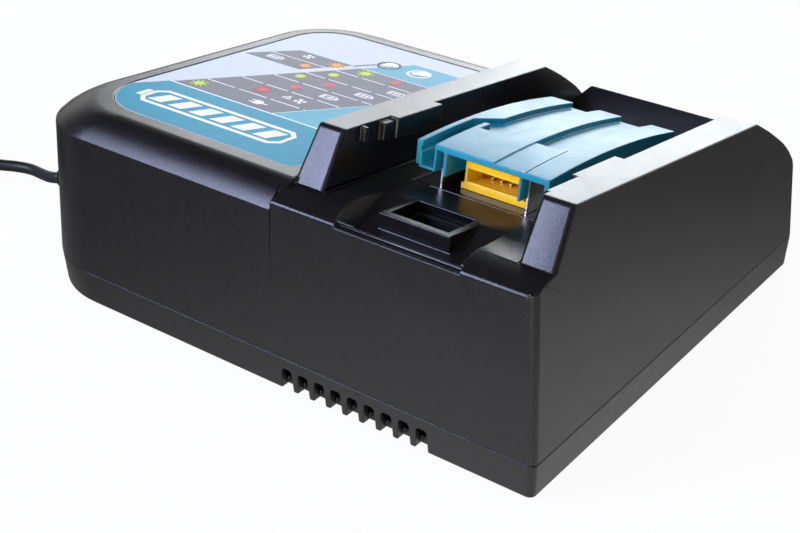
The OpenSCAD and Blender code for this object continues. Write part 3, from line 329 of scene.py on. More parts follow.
# each entry is one real material: hex colour, a second tone for its variation, roughness and its spread, and
# the grain of its surface texture and the depth of that, in mm
plastics = {
    # ABS moulded against a spark-eroded steel tool: even matt grain that glints where it faces a lamp. The real
    # grain is finer than shows, so it is drawn coarser
    "sparkErodedAbs": ("#0c0b0d", "#121115", 0.31, 0.03, 0.32, 0.045),
    # the same ABS with a finer grain on the lower half
    "fineGrainAbs": ("#0c0b0d", "#131215", 0.35, 0.04, 0.3, 0.04),
    # polished black PBT block: mirror-like, faint flow marks
    "polishedBlackPbt": ("#08080a", "#0e0d10", 0.06, 0.02, 3.5, 0.006),
    # teal PBT cover, satin from a lightly blasted tool
    "satinTealPbt": ("#117f9a", "#1b8aa4", 0.38, 0.05, 0.5, 0.006),
    # yellow PBT connector body, satin straight from the tool
    "yellowPbt": ("#ffc406", "#ffcf2a", 0.35, 0.05, 0.6, 0.006),
    # glass-filled nylon of duct and fan: dull, with fibre streaks
    "glassFilledNylon": ("#101012", "#1b1b1e", 0.6, 0.1, 0.9, 0.02),
    # soft PVC of the cord and plug: satin, slightly uneven from extrusion
    "softPvc": ("#101012", "#1a1a1c", 0.42, 0.08, 1.2, 0.012),
    # foot rubber: dull, with a bloom of dust
    "nitrileRubber": ("#19191a", "#2c2b2a", 0.82, 0.08, 0.8, 0.03),
    # black moulding compound of transistors and the buzzer: dull, finely pitted
    "epoxyMouldCompound": ("#121214", "#202022", 0.55, 0.08, 0.3, 0.01),
    # green nylon of the lead connector: smooth with a soft shine
    "greenNylon": ("#1f6e38", "#2a7d45", 0.4, 0.06, 0.7, 0.008),
    # thin brown PVC round single leads: satin
    "wireSheath": ("#5a2a1c", "#6d3a26", 0.45, 0.06, 1.0, 0.01),
    # polyester tape wound round the transformer: shiny, with wrinkles a few millimetres apart
    "polyesterTape": ("#d9a22a", "#e7b545", 0.28, 0.08, 3.0, 0.02),
    # shrunk PVC sleeve of the capacitors: glossy dark blue
    "capacitorSleeve": ("#141a2c", "#1b2338", 0.22, 0.05, 2.0, 0.01),
    # natural nylon of the cord tie: milky, satin
    "whiteNylonTie": ("#d9d8d3", "#e6e5e1", 0.45, 0.06, 0.8, 0.01),
    # milky epoxy of the lamps: smooth and soft-edged
    "diffusedEpoxy": ("#dcdccb", "#ecebdd", 0.3, 0.05, 0.5, 0.004),
}


def startMaterial(name):
    m = bpy.data.materials.new(name)
    m.use_nodes = True
    add = partial(addNode, m.node_tree)
    return m, add, add("ShaderNodeTexCoord").outputs["Object"]


def dressShader(material, tones, blend, gloss=None, relief=None, even=None):
    # blend mixes the two tones. gloss: what drives the roughness, its range, the roughness at both ends.
    # relief: what raises the surface, strength, height in mm. even: sockets that are the same all over
    tree = material.node_tree
    add, shader = partial(addNode, tree), tree.nodes["Principled BSDF"]
    for name, value in (even or {}).items():
        shader.inputs[name].default_value = value
    tint = add("ShaderNodeMix", {0: blend, 6: linearColour(tones[0]), 7: linearColour(tones[1])},
               data_type="RGBA")
    tree.links.new(tint.outputs[2], shader.inputs["Base Color"])
    if gloss:
        driver, span, rough = gloss
        level = add("ShaderNodeMapRange", {"Value": driver, "From Min": span[0], "From Max": span[1],
                    "To Min": rough[0], "To Max": rough[1]})
        tree.links.new(level.outputs[0], shader.inputs["Roughness"])
    if relief:
        height, strength, depth = relief
        bump = add("ShaderNodeBump", {"Height": height, "Strength": strength, "Distance": depth * mm})
        tree.links.new(bump.outputs["Normal"], shader.inputs["Normal"])


def mouldedPlastic(name):
    colour, tone, rough, spread, grain, depth = plastics[name]
    m, add, place = startMaterial(name)
    # slow colour drift over about 30 mm, and finer mottling of 2 mm
    drift = add("ShaderNodeTexNoise", {"Vector": place, "Scale": perMetre(29.412), "Detail": 4,
                "Roughness": 0.6})
    mottle = add("ShaderNodeTexNoise", {"Vector": place, "Scale": perMetre(2), "Detail": 2})
    both = add("ShaderNodeMath", {0: drift, 1: 0.6, 2: mottle}, operation="MULTIPLY_ADD")
    blend = add("ShaderNodeMapRange", {"Value": both, "From Min": 0.55, "From Max": 1.0})
    # handling leaves the gloss a little uneven, in smears of a finger's width
    smear = add("ShaderNodeTexNoise", {"Vector": place, "Scale": perMetre(16.667), "Detail": 6,
                "Roughness": 0.7, "Distortion": 0.6})
    # the tool's grain: cells of the stated size with rounded tops
    pits = add("ShaderNodeTexNoise", {"Vector": place, "Scale": perMetre(grain), "Detail": 1, "Roughness": 0.6})
    dressShader(m, (colour, tone), blend, gloss=(smear, (0.3, 0.7), (rough - spread, rough + spread)),
                relief=(pits, 1.0, depth), even={"IOR": 1.5})
    return m


# hex colour and second tone, roughness and its spread, and how deep the rub marks are
metals = {
    # zinc-plated steel screws: blotchy bluish grey
    "zincPlatedSteel": ("#b9bcc2", "#9fa4ad", 0.34, 0.12, 0.3),
    # bright nickel on the blades and pins, with fine rub marks along their length
    "nickelPlatedBrass": ("#dcdad4", "#c9c6bf", 0.17, 0.07, 0.5),
    # tinned contact strips: yellowish, a little cloudy
    "tinnedBronze": ("#cdbb86", "#b7a26a", 0.28, 0.08, 0.4),
    # music wire: drawn, slightly oily
    "springSteelWire": ("#a9abae", "#8d8f93", 0.25, 0.08, 0.6),
    # extruded aluminium with die lines
    "extrudedAluminium": ("#c5c8cc", "#b0b3b8", 0.38, 0.1, 1.0),
    # copper wire under clear enamel: orange-brown and shiny
    "enamelledCopper": ("#b5551f", "#8e3a12", 0.25, 0.06, 0.2),
}


def platedMetal(name):
    colour, tone, rough, spread, scratch = metals[name]
    m, add, place = startMaterial(name)
    # the plating is blotchy over 2 to 3 mm
    blotch = add("ShaderNodeTexNoise", {"Vector": place, "Scale": perMetre(2.381), "Detail": 5,
                 "Roughness": 0.65})
    # rub marks run along Y, about 0.1 mm apart and a few millimetres long
    apart, long = perMetre(0.11111), perMetre(2.8571)
    stretch = add("ShaderNodeMapping", {"Vector": place, "Scale": (apart, long, apart)})
    marks = add("ShaderNodeTexNoise", {"Vector": stretch, "Scale": 1.0, "Detail": 2})
    dressShader(m, (colour, tone), blotch, gloss=(blotch, (0.3, 0.7), (rough - spread, rough + spread)),
                relief=(marks, 0.25 * scratch, 0.01), even={"Metallic": 1.0})
    return m


def solderMaskBoard():
    # FR4 laminate under green solder mask: copper tracks show through as a lighter, raised green
    m, add, place = startMaterial("greenSolderMaskFr4")
    tracks = add("ShaderNodeTexBrick", {"Vector": place, "Scale": perMetre(9.0909), "Mortar Size": 0.035,
                 "Mortar Smooth": 0.1, "Bias": 0.0, "Brick Width": 1.3, "Row Height": 0.24}, offset=0.37,
                 squash=1.6, squash_frequency=3)
    gaps = tracks.outputs["Fac"]
    copper = add("ShaderNodeMath", {0: 1.0, 1: gaps}, operation="SUBTRACT")
    weave = add("ShaderNodeTexNoise", {"Vector": place, "Scale": perMetre(0.66667), "Detail": 2})
    dressShader(m, ("#1d6b3c", "#124a29"), gaps, gloss=(weave, (0, 1), (0.22, 0.38)),
                relief=(copper, 0.5, 0.04))
    return m


def sinteredFerrite():
    # dark grey ceramic, dull, with tiny bright flecks of 0.2 mm
    m, add, place = startMaterial("sinteredFerrite")
    fleck = add("ShaderNodeTexVoronoi", {"Vector": place, "Scale": perMetre(0.25)})
    shade = add("ShaderNodeMapRange", {"Value": fleck, "From Min": 0.0, "From Max": 0.35})
    dressShader(m, ("#5b5b60", "#2e2e32"), shade, relief=(fleck, 0.4, 0.03), even={"Roughness": 0.62})
    return m


def clearMoulding(name, colour, rough):
    # clear polycarbonate or glass, with faint dust in specks of about 1.4 mm so that it doesn't vanish
    m, add, place = startMaterial(name)
    dust = add("ShaderNodeTexNoise", {"Vector": place, "Scale": perMetre(1.4286), "Detail": 6,
               "Roughness": 0.7})
    dressShader(m, (colour, "#ffffff"), dust, gloss=(dust, (0, 1), (rough * 0.6, rough * 1.6)),
                even={"Transmission Weight": 0.55, "IOR": 1.58})
    return m


# screen-printed ink under a satin polycarbonate film; each ink is a hex colour and a second tone
inks = {
    "tealInk": ("#2b94ae", "#379eb6"), "paleInk": ("#d3dae0", "#dde3e8"),
    "lightTealInk": ("#5fb0c4", "#6fbacc"),
    "greyInk": ("#77787f", "#82838a"), "whiteInk": ("#f1f4f5", "#ffffff"), "darkInk": ("#4c4e55", "#5b5d64"),
    "greenInk": ("#c6e23c", "#d3ea5a"), "redInk": ("#e8505a", "#ef6a70"), "orangeInk": ("#f2a24a", "#f5b266"),
}


def printedInk(name):
    m, add, place = startMaterial(name)
    # ink lay-down varies a little over a few millimetres
    lay = add("ShaderNodeTexNoise", {"Vector": place, "Scale": perMetre(5.5556), "Detail": 5,
              "Roughness": 0.6})
    # velvet-finish film: fine pebble, which scatters most of the shine
    film = add("ShaderNodeTexNoise", {"Vector": place, "Scale": perMetre(0.38462), "Detail": 2})
    dressShader(m, inks[name], lay, gloss=(film, (0, 1), (0.3, 0.42)), relief=(film, 0.3, 0.01),
                even={"Specular IOR Level": 0.05})
    return m


# radii in mm
edgeRounds = {
    "upper_case": {"radius": 0.4, "segments": 2, "wallTop": 0.8, "wallFront": 1.3},
    "lower_case": {"radius": 0.3, "segments": 2},
    "terminal_base": {"radius": 0.3, "segments": 2}, "terminal_cover": {"radius": 0.3, "segments": 2},
    "connector_housing": {"radius": 0.22, "segments": 2}, "power_blades": {"radius": 0.15, "segments": 2},
    "plug_body": {"radius": 1.8, "segments": 3, "neckEnd": -137.5},
}
# where an edge of the case lies inside it, on the front slopes of the bay's walls, or on their tops, in mm
caseZones = {"insideBelow": 49, "insideX": 92.6, "insideY": 72.6, "slopeY": (-70, -52), "slopeAbove": 55,
             "slopeBeside": (24, 78), "topWithin": 0.3, "topFront": -45, "topBeside": (10, 88)}
# mm and degrees. weld: points this near are one; sliver: a triangle this low is joined to its neighbour;
# flat: faces that turn less are one; sharp: edges that turn more are rounded
merging = {"weld": 0.03, "shortest": 0.01, "sliver": 0.012, "sweeps": 3, "flat": 0.7, "sharp": 28}


def mergedCopy(node):
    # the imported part's loose triangles joined into whole faces
    s = merging
    bm = bmesh.new()
    bm.from_mesh(cad[node].data)
    bmesh.ops.remove_doubles(bm, verts=bm.verts, dist=s["weld"] * mm)
    bmesh.ops.dissolve_degenerate(bm, edges=bm.edges, dist=s["shortest"] * mm)
    # a sliver goes into the face along its longest side
    for sweep in range(s["sweeps"]):
        longest = {}  # a dictionary keeps its order, so each run cuts alike
        for f in bm.faces:
            side = max(f.edges, key=lambda e: e.calc_length())
            if len(f.verts) == 3 and 2 * f.calc_area() < side.calc_length() * s["sliver"] * mm:
                longest[side] = True
        if not longest:
            break
        bmesh.ops.dissolve_edges(bm, edges=list(longest), use_verts=False, use_face_split=False)
        bmesh.ops.triangulate(bm, faces=[f for f in bm.faces if len(f.verts) > 3])
    bmesh.ops.dissolve_limit(bm, angle_limit=math.radians(s["flat"]), verts=bm.verts, edges=bm.edges)
    return bm


def caseRadius(middle, direction):
    # edges inside the case stay square, and the tops and front slopes of the bay's walls get wider rounds
    x, y, z = middle / mm
    r, zone = edgeRounds["upper_case"], caseZones
    if z < zone["insideBelow"] and abs(x) < zone["insideX"] and abs(y) < zone["insideY"]:
        return 0

    def beside(key):
        return x < zone[key][0] or x > zone[key][1]

    onTop = abs(y * math.sin(bayTilt) + (z - bayHeight) * math.cos(bayTilt)) < zone["topWithin"]
    steep, crosswise = abs(direction.z) > 0.6, abs(direction.x) > 0.9
    onSlope = zone["slopeY"][0] < y < zone["slopeY"][1] and z > zone["slopeAbove"] and beside("slopeBeside")
    if steep and onSlope or crosswise and onTop and y < zone["topFront"]:
        return r["wallFront"]
    return r["wallTop"] if onTop and beside("topBeside") else r["radius"]


def plugRadius(middle, direction):
    # the plug's body is soft all round, and its neck, which is round already, stays as it is
    r = edgeRounds["plug_body"]
    return r["radius"] if middle.y / mm < r["neckEnd"] else 0


def windsRound(loop, p):
    # how many times a closed outline goes round a point
    turns = 0
    for a, b in zip(loop, loop[1:] + loop[:1]):
        side = (b - a).cross(p - a)
        if a.y <= p.y < b.y and side > 0:
            turns += 1
        elif b.y <= p.y < a.y and side < 0:
            turns -= 1
    return turns


# mm. A triangle over smallest that faces away from its flat face shows that the face crosses itself;
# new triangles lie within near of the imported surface, and face its way within level
recut = {"smallest": 0.02, "away": 0.5, "near": 0.1, "level": 0.9}


def crossedFaces(mesh):
    mesh.calc_loop_triangles()
    crossed = set()
    for t in mesh.loop_triangles:
        a, b, c = (mesh.vertices[i].co for i in t.vertices)
        square = (b - a).cross(c - a)
        facing = square.normalized().dot(mesh.polygons[t.polygon_index].normal)
        if square.length > recut["smallest"] * mm * mm and facing < recut["away"]:
            crossed.add(t.polygon_index)
    return sorted(crossed)


def untangle(mesh, packed):
    # where the rounds of a narrow place overlap, a flat face crosses itself: it is cut anew into triangles that
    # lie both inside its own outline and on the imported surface
    crossed = crossedFaces(mesh)
    bm = bmesh.new()
    bm.from_mesh(mesh)
    bm.faces.ensure_lookup_table()
    tree = BVHTree.FromPolygons([v.co for v in packed.vertices], [p.vertices for p in packed.polygons])
    for face in [bm.faces[i] for i in crossed if len(bm.faces[i].verts) > 3]:
        verts, normal, middle = list(face.verts), face.normal.copy(), face.calc_center_median()
        turn = normal.to_track_quat("Z", "Y").inverted()
        level = (turn @ middle).z
        loop = [(turn @ v.co).to_2d() for v in verts]
        sides = [(i, (i + 1) % len(loop)) for i in range(len(loop))]
        places, _, cells, origin, _, _ = delaunay_2d_cdt(loop, sides, [], 0, 1e-7)
        made = [verts[o[0]] if o else bm.verts.new(turn.inverted() @ Vector((q.x, q.y, level)))
                for q, o in zip(places, origin)]
        bm.faces.remove(face)
        for cell in cells:
            centre = sum((places[i] for i in cell), Vector((0, 0))) / len(cell)
            spot, outward, _, gap = tree.find_nearest(turn.inverted() @ Vector((centre.x, centre.y, level)))
            facing = 1 if outward.dot(normal) > 0 else -1
            onSurface = gap < recut["near"] * mm and abs(outward.dot(normal)) > recut["level"]
            if onSurface and windsRound(loop, centre) * facing > 0:
                corners = [made[i] for i in cell][::facing]
                if len(set(corners)) == len(corners) and not bm.faces.get(corners):
                    bm.faces.new(corners).smooth = True
    bmesh.ops.delete(bm, geom=[v for v in bm.verts if not v.link_faces], context="VERTS")
    bm.to_mesh(mesh)
    bm.free()


def roundedCopy(node, material, radiusAt=None):
    look = edgeRounds[node]
    bm = mergedCopy(node)
    weight = bm.edges.layers.float.new("bevel_weight_edge")
    radii = {}
    for e in bm.edges:
        if len(e.link_faces) != 2 or e.calc_face_angle() < math.radians(merging["sharp"]):
            continue
        a, b = (v.co for v in e.verts)
        radii[e] = radiusAt((a + b) / 2, (b - a).normalized()) if radiusAt else look["radius"]
        e.smooth = radii[e] > 0
    widest = max(radii.values())
    for e, r in radii.items():
        e[weight] = r / widest
    for f in bm.faces:
        f.smooth = True
    holder = addObject(node + "Holder", meshFrom(node + "Round", bm))
    bevel = holder.modifiers.new("edges", "BEVEL")
    bevel.limit_method = "WEIGHT"
    bevel.offset_type = "OFFSET"
    bevel.width = widest * mm
    bevel.segments = look["segments"]
    bevel.use_clamp_overlap = False
    rounded = evaluatedMesh(holder)
    holder.modifiers.clear()
    untangle(rounded, cad[node].data)
    holder.data = rounded
    even = holder.modifiers.new("normals", "WEIGHTED_NORMAL")
    even.keep_sharp = True
    even.weight = 80
    finished = evaluatedMesh(holder)
    bpy.data.objects.remove(holder)
    print("rounded:", node, len(finished.polygons), "faces")
    return newPiece(node + "_rounded", finished, node, [material], [node])


# places and sizes in mm
labelArt = {
    # height of the sheet over the deck plane, of one ink layer, how far ink reaches into the paper, bare edge
    "paper": -0.2, "layer": 0.035, "into": 0.05, "inset": 0.3,
    # ink, layer, corners (x, y); each field is cut off at the edge of the sheet
    "fields": [
        ("tealInk", 1, [(-79, -44.6), (-70.4, -29.6), (8, -29.6), (8, -62), (-79, -62)]),
        ("greyInk", 1, [(-69.4, -28.9), (-38.4, 25.6), (1.8, 25.6), (-29.3, -28.9)]),
        ("lightTealInk", 1, [(-28.6, -28.9), (8, -28.9), (8, 25.6), (2.6, 25.6)]),
        ("lightTealInk", 2, [(-37.8, 26.5), (-28.9, 42.2), (8, 42.2), (8, 26.5)]),
        ("greyInk", 1, [(-75, 9.8), (-70.1, 17.4), (-47.2, 17.4), (-51.4, 9.8)]),
        ("greyInk", 1, [(-69.6, 18.2), (-64.6, 26), (-42.4, 26), (-46.8, 18.2)]),
        ("darkInk", 2, [(-42.2, 25.9), (-38.1, 32.9), (-37.6, 32.5), (-41.6, 25.6)]),
    ],
    # broken white lines between the rows: y, from x, to x, length of a dash, gap
    "rowLines": [(-29.25, -70.2, 4.2, 9.4, 0), (-19.5, -63.6, -24, 11.4, 1.6), (-9.8, -58, -18.6, 8.6, 1.6),
                 (-0.6, -52.8, -13.4, 10.2, 1.6), (8.7, -47.6, -8.2, 7.8, 1.6), (17.7, -42.6, -3, 9.2, 1.6)],
    "lineWidth": 0.42, "shortestDash": 0.5,
    # signal dots: x, y, ink, number of rays
    "dots": [(-62.5, -24.5, "greenInk", 10), (-45.3, -14.5, "redInk", 10), (-40, -5, "redInk", 0),
             (-46.3, 4.5, "greenInk", 0), (-34.2, 4.5, "redInk", 0), (-40, 13.4, "greenInk", 0),
             (-34, 22.3, "greenInk", 10), (-21.5, 22, "redInk", 0), (-46, 22.2, "orangeInk", 10),
             (-52.3, 14, "orangeInk", 0)],
    "dotRadius": 1.75, "rayGap": 0.25, "rayLength": 1.0, "rayWidth": 0.45,
    # pictograms in white: kind, x, y
    "signs": [("plug", -38, -24.5), ("warning", -35.2, -14.5), ("fan", -30.2, -14.5), ("cycle", -26.6, -5),
              ("battery", -20.2, 4.3), ("battery", -14.6, 13.4), ("fan", -58, 22.4), ("battery", -65, 13.9)],
    # large charge gauge on the teal field: its edges, frame width and corner cut, bars with their width, slant
    # and room to the frame, and the nub at its left end: how far out it starts and ends, from y, to y
    "gauge": {"left": -66, "right": -10, "front": -49, "back": -36.5, "frame": 1.5, "cut": 3.0, "bars": 6,
              "bar": 5.2, "slant": 2.6, "roomX": 1.7, "roomY": 1.3, "nub": (0.4, 2.6, -45.5, -40)},
    # printed rings round the two light windows, and how far the windows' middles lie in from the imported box
    "ringOuter": 4.15, "ringInner": 3.2, "ringIn": 4, "ringForward": 0.25,
}


def sheetOutline():
    # edge of the printed sheet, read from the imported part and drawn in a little
    s, c = math.sin(deckTilt), math.cos(deckTilt)
    spots = []
    for v in cad["label_panel"].data.vertices:
        x, y, z = v.co / mm
        lift = (z - deckHeight + y * s / c) * c
        if lift > labelArt["paper"] - labelArt["into"]:
            spots.append(Vector((x, y - lift * s)))
    hull = [spots[i] for i in convex_hull_2d(spots)]
    middle = sum(hull, Vector((0, 0))) / len(hull)
    edge = [p - (p - middle).normalized() * labelArt["inset"] for p in hull]
    return edge if loopArea(edge) > 0 else edge[::-1]


def loopArea(loop):
    return sum(a[0] * b[1] - b[0] * a[1] for a, b in zip(loop, list(loop[1:]) + [loop[0]])) / 2


def cutToSheet(loop, edge):
    # keeps the part of an outline that lies on the sheet
    kept = [Vector(p) for p in loop]
    for a, b in zip(edge, edge[1:] + edge[:1]):
        inside = [(b - a).cross(p - a) >= 0 for p in kept]
        cut = []
        for i, p in enumerate(kept):
            q = kept[i - 1]
            if inside[i] != inside[i - 1]:
                cut.append(q + (p - q) * ((b - a).cross(q - a) / (b - a).cross(q - p)))
            if inside[i]:
                cut.append(p)
        kept = cut
    return kept


def printLayer(bm, loops, layer):
    # a closed film of ink: one outline, or an outer and an inner one of the same number of corners
    rings = []
    for loop in loops:
        loop = loop if loopArea(loop) > 0 else loop[::-1]
        lifts = (labelArt["paper"] + layer * labelArt["layer"], labelArt["paper"] - labelArt["into"])
        rings.append([[bm.verts.new(deckPoint(p[0], p[1], lift)) for p in loop] for lift in lifts])
    top, low = rings[0]
    for i in range(len(top)):
        j = (i + 1) % len(top)
        bm.faces.new((low[i], low[j], top[j], top[i]))
        for inTop, inLow in rings[1:]:
            bm.faces.new((inLow[j], inLow[i], inTop[i], inTop[j]))
            bm.faces.new((top[i], top[j], inTop[j], inTop[i]))
            bm.faces.new((low[j], low[i], inLow[i], inLow[j]))
    if len(rings) == 1:
        bm.faces.new(top)
        bm.faces.new(low[::-1])


def roundLoop(x, y, radius, corners=28, start=0.0):
    turns = [2 * math.pi * k / corners + start for k in range(corners)]
    return [(x + radius * math.cos(a), y + radius * math.sin(a)) for a in turns]


def strip(x, y, angle, start, end, width):
    # a straight stroke that points away from (x, y)
    c, s = math.cos(angle), math.sin(angle)
    return [(x + a * c - b * s, y + a * s + b * c)
            for a, b in ((start, -width / 2), (end, -width / 2), (end, width / 2), (start, width / 2))]


def frameLoops(x0, y0, x1, y1, width, cut):
    # rectangle with cut corners, and the same drawn in by width
    loops = []
    for d in (0, width):
        a, b, c, e, k = x0 + d, y0 + d, x1 - d, y1 - d, max(cut - d * 0.6, 0.15)
        loops.append([(a + k, b), (c - k, b), (c, b + k), (c, e - k), (c - k, e), (a + k, e), (a, e - k),
                      (a, b + k)])
    return loops


def signShapes(kind, x, y):
    # every pictogram is a list of shapes, and a shape is one or two outlines
    def outline(*corners):
        return [[(x + a, y + b) for a, b in corners]]

    upright = math.pi / 2
    cell = [frameLoops(x - 3.2, y - 1.7, x + 2.4, y + 1.7, 0.42, 0.5),
            outline((2.5, -0.8), (3.3, -0.8), (3.3, 0.8), (2.5, 0.8))]
    bars = [[strip(x - 2.1 + 1.5 * k, y, upright, -0.9, 0.9, 0.9)] for k in range(3)]
    if kind == "battery":
        return cell + bars
    if kind == "cycle":
        arrow = outline((-0.9, -0.35), (0.5, -0.35), (0.5, -0.95), (1.7, 0), (0.5, 0.95), (0.5, 0.35),
                        (-0.9, 0.35))
        return cell + bars[:1] + [arrow]
    if kind == "plug":
        body = outline((-1.6, -1.6), (0.6, -1.6), (1.6, -0.6), (1.6, 0.6), (0.6, 1.6), (-1.6, 1.6))
        pins = [[strip(x, y + side, math.pi, 1.65, 3.1, 0.5)] for side in (0.85, -0.85)]
        return [body] + pins + [[strip(x, y, 0, 1.65, 3.4, 0.6)]]
    if kind == "warning":
        return [[roundLoop(x, y, r, 3, upright) for r in (2.0, 1.2)], [strip(x, y, upright, -0.5, 0.6, 0.35)]]
    blade = ((0.5, 0), (1.5, -0.45), (2.1, -0.1), (2.0, 0.45), (1.3, 0.6))
    turns = [upright * k + 0.4 for k in range(4)]
    blades = [outline(*[(r * math.cos(a + t), r * math.sin(a + t)) for r, t in blade]) for a in turns]
    return blades + [[roundLoop(x, y, 0.45, 12)]]


def makeLabel():
    art, edge = labelArt, sheetOutline()
    films = {}

    def film(ink, loops, layer=3):
        if ink not in films:
            films[ink] = bmesh.new()
        printLayer(films[ink], loops, layer)

    for ink, layer, corners in art["fields"]:
        film(ink, [cutToSheet(corners, edge)], layer)
    for y, x, last, dash, gap in art["rowLines"]:
        while x < last - art["shortestDash"]:
            film("whiteInk", [strip(x, y, 0, 0, min(dash, last - x), art["lineWidth"])])
            x += dash + gap
    for x, y, ink, rays in art["dots"]:
        film(ink, [roundLoop(x, y, art["dotRadius"])])
        start = art["dotRadius"] + art["rayGap"]
        for k in range(rays):
            film(ink, [strip(x, y, 2 * math.pi * k / rays, start, start + art["rayLength"], art["rayWidth"])])
    for kind, x, y in art["signs"]:
        for shape in signShapes(kind, x, y):
            film("whiteInk", shape)
    g = art["gauge"]
    film("whiteInk", frameLoops(g["left"], g["front"], g["right"], g["back"], g["frame"], g["cut"]))
    near, far, low, high = g["nub"]
    inner, outer = g["left"] - near, g["left"] - far
    film("whiteInk", [[(outer, low), (inner, low), (inner, high), (outer, high)]])
    room = g["right"] - g["left"] - 2 * g["frame"] - 2 * g["roomX"] - g["slant"]
    low, high = g["front"] + g["frame"] + g["roomY"], g["back"] - g["frame"] - g["roomY"]
    for k in range(g["bars"]):
        x = g["left"] + g["frame"] + g["roomX"] + k * (room - g["bar"]) / (g["bars"] - 1)
        end, lean = x + g["bar"], g["slant"]
        film("whiteInk", [[(x, low), (end, low), (end + lean, high), (x + lean, high)]])
    low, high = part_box("indicator_lenses")
    y = (low[1] + high[1]) / 2 / mm - art["ringForward"]
    for x, ink in ((low[0] / mm + art["ringIn"], "darkInk"), (high[0] / mm - art["ringIn"], "whiteInk")):
        film(ink, [roundLoop(x, y, art["ringOuter"], 40), roundLoop(x, y, art["ringInner"], 40)])
    for ink, bm in films.items():
        newPiece("label_" + ink, meshFrom(ink + "Film", bm), "label_panel", [finish[ink]])
    print("label:", len(films), "inks")


def geoTree(name, sizes):
    # an empty Geometry Nodes tree with named inputs; a whole number makes a count, a tuple a vector
    tree = bpy.data.node_groups.new(name, "GeometryNodeTree")
    tree.interface.new_socket("Places", in_out="INPUT", socket_type="NodeSocketGeometry")
    for key, value in sizes.items():
        kind = {int: "NodeSocketInt", tuple: "NodeSocketVector"}.get(type(value), "NodeSocketFloat")
        tree.interface.new_socket(key, in_out="INPUT", socket_type=kind).default_value = value
    tree.interface.new_socket("Geometry", in_out="OUTPUT", socket_type="NodeSocketGeometry")
    add = partial(addNode, tree)
    return tree, add, add("NodeGroupInput").outputs


def closeTree(add, geometry, look):
    real = add("GeometryNodeRealizeInstances", {"Geometry": geometry})
    painted = add("GeometryNodeSetMaterial", {"Geometry": real, "Material": finish[look]})
    add("NodeGroupOutput", {0: painted})


def atPlaces(add, size, geometry, turn):
    # one copy of the geometry on each of the places, turned by angles about X, Y and Z
    way = add("FunctionNodeEulerToRotation", {0: turn})
    return add("GeometryNodeInstanceOnPoints", {"Points": size["Places"], "Instance": geometry, "Rotation": way})


def tube(add, curve, radius, sides, capped=True):
    ring = add("GeometryNodeCurvePrimitiveCircle", {"Resolution": sides, "Radius": radius})
    return add("GeometryNodeCurveToMesh", {"Curve": curve, "Profile Curve": ring, "Fill Caps": capped})


def growPiece(name, tree, sizes, places, like, replaced=(), joined=False):
    # runs a tree on a few points, or on a line through them, and keeps the result as a plain mesh
    start = bpy.data.meshes.new(name + "Places")
    start.from_pydata(places, [(i, i + 1) for i in range(len(places) - 1)] if joined else [], [])
    holder = addObject(name + "Holder", start)
    nodes = holder.modifiers.new(name, "NODES")
    nodes.node_group = tree
    for item in tree.interface.items_tree:
        if item.in_out == "INPUT" and item.name in sizes:
            nodes[item.identifier] = sizes[item.name]
    mesh = evaluatedMesh(holder)
    bpy.data.objects.remove(holder)
    for polygon in mesh.polygons:
        polygon.use_smooth = True
    mesh.set_sharp_from_angle(angle=smoothBelow)
    print("grown:", name, len(mesh.polygons), "faces")
    return newPiece(name, mesh, like, [], replaced)


# sizes in mm, the head by its radius. The recess is a cross recessSpan times that radius across, and the pan
# head is cut from a ball dome times as large. Each screw stops at its own angle
screws = {
    "headHeight": 1.8, "recessWidth": 0.8, "recessDepth": 0.9, "recessSpan": 1.3, "shankRadius": 1.45,
    "dome": 1.5, "seed": 7,
    "rows": {
        "case_screws": {"head": 2.8, "shank": 12.0, "up": True, "number": 6},
        "fan_screws": {"head": 2.6, "shank": 16.0, "up": False, "number": 4},
        "board_screws": {"head": 2.8, "shank": 4.5, "up": False, "number": 6},
        "clamp_screws": {"head": 2.6, "shank": 9.0, "up": False, "number": 2},
    },
}


def screwSizes(row):
    s = screws
    return {"Head radius": row["head"] * mm, "Head height": s["headHeight"] * mm,
            "Recess width": s["recessWidth"] * mm, "Recess depth": s["recessDepth"] * mm,
            "Shank radius": s["shankRadius"] * mm, "Shank length": row["shank"] * mm,
            "Turn": (0.0 if row["up"] else math.pi, 0.0, 0.0), "Seed": s["seed"]}


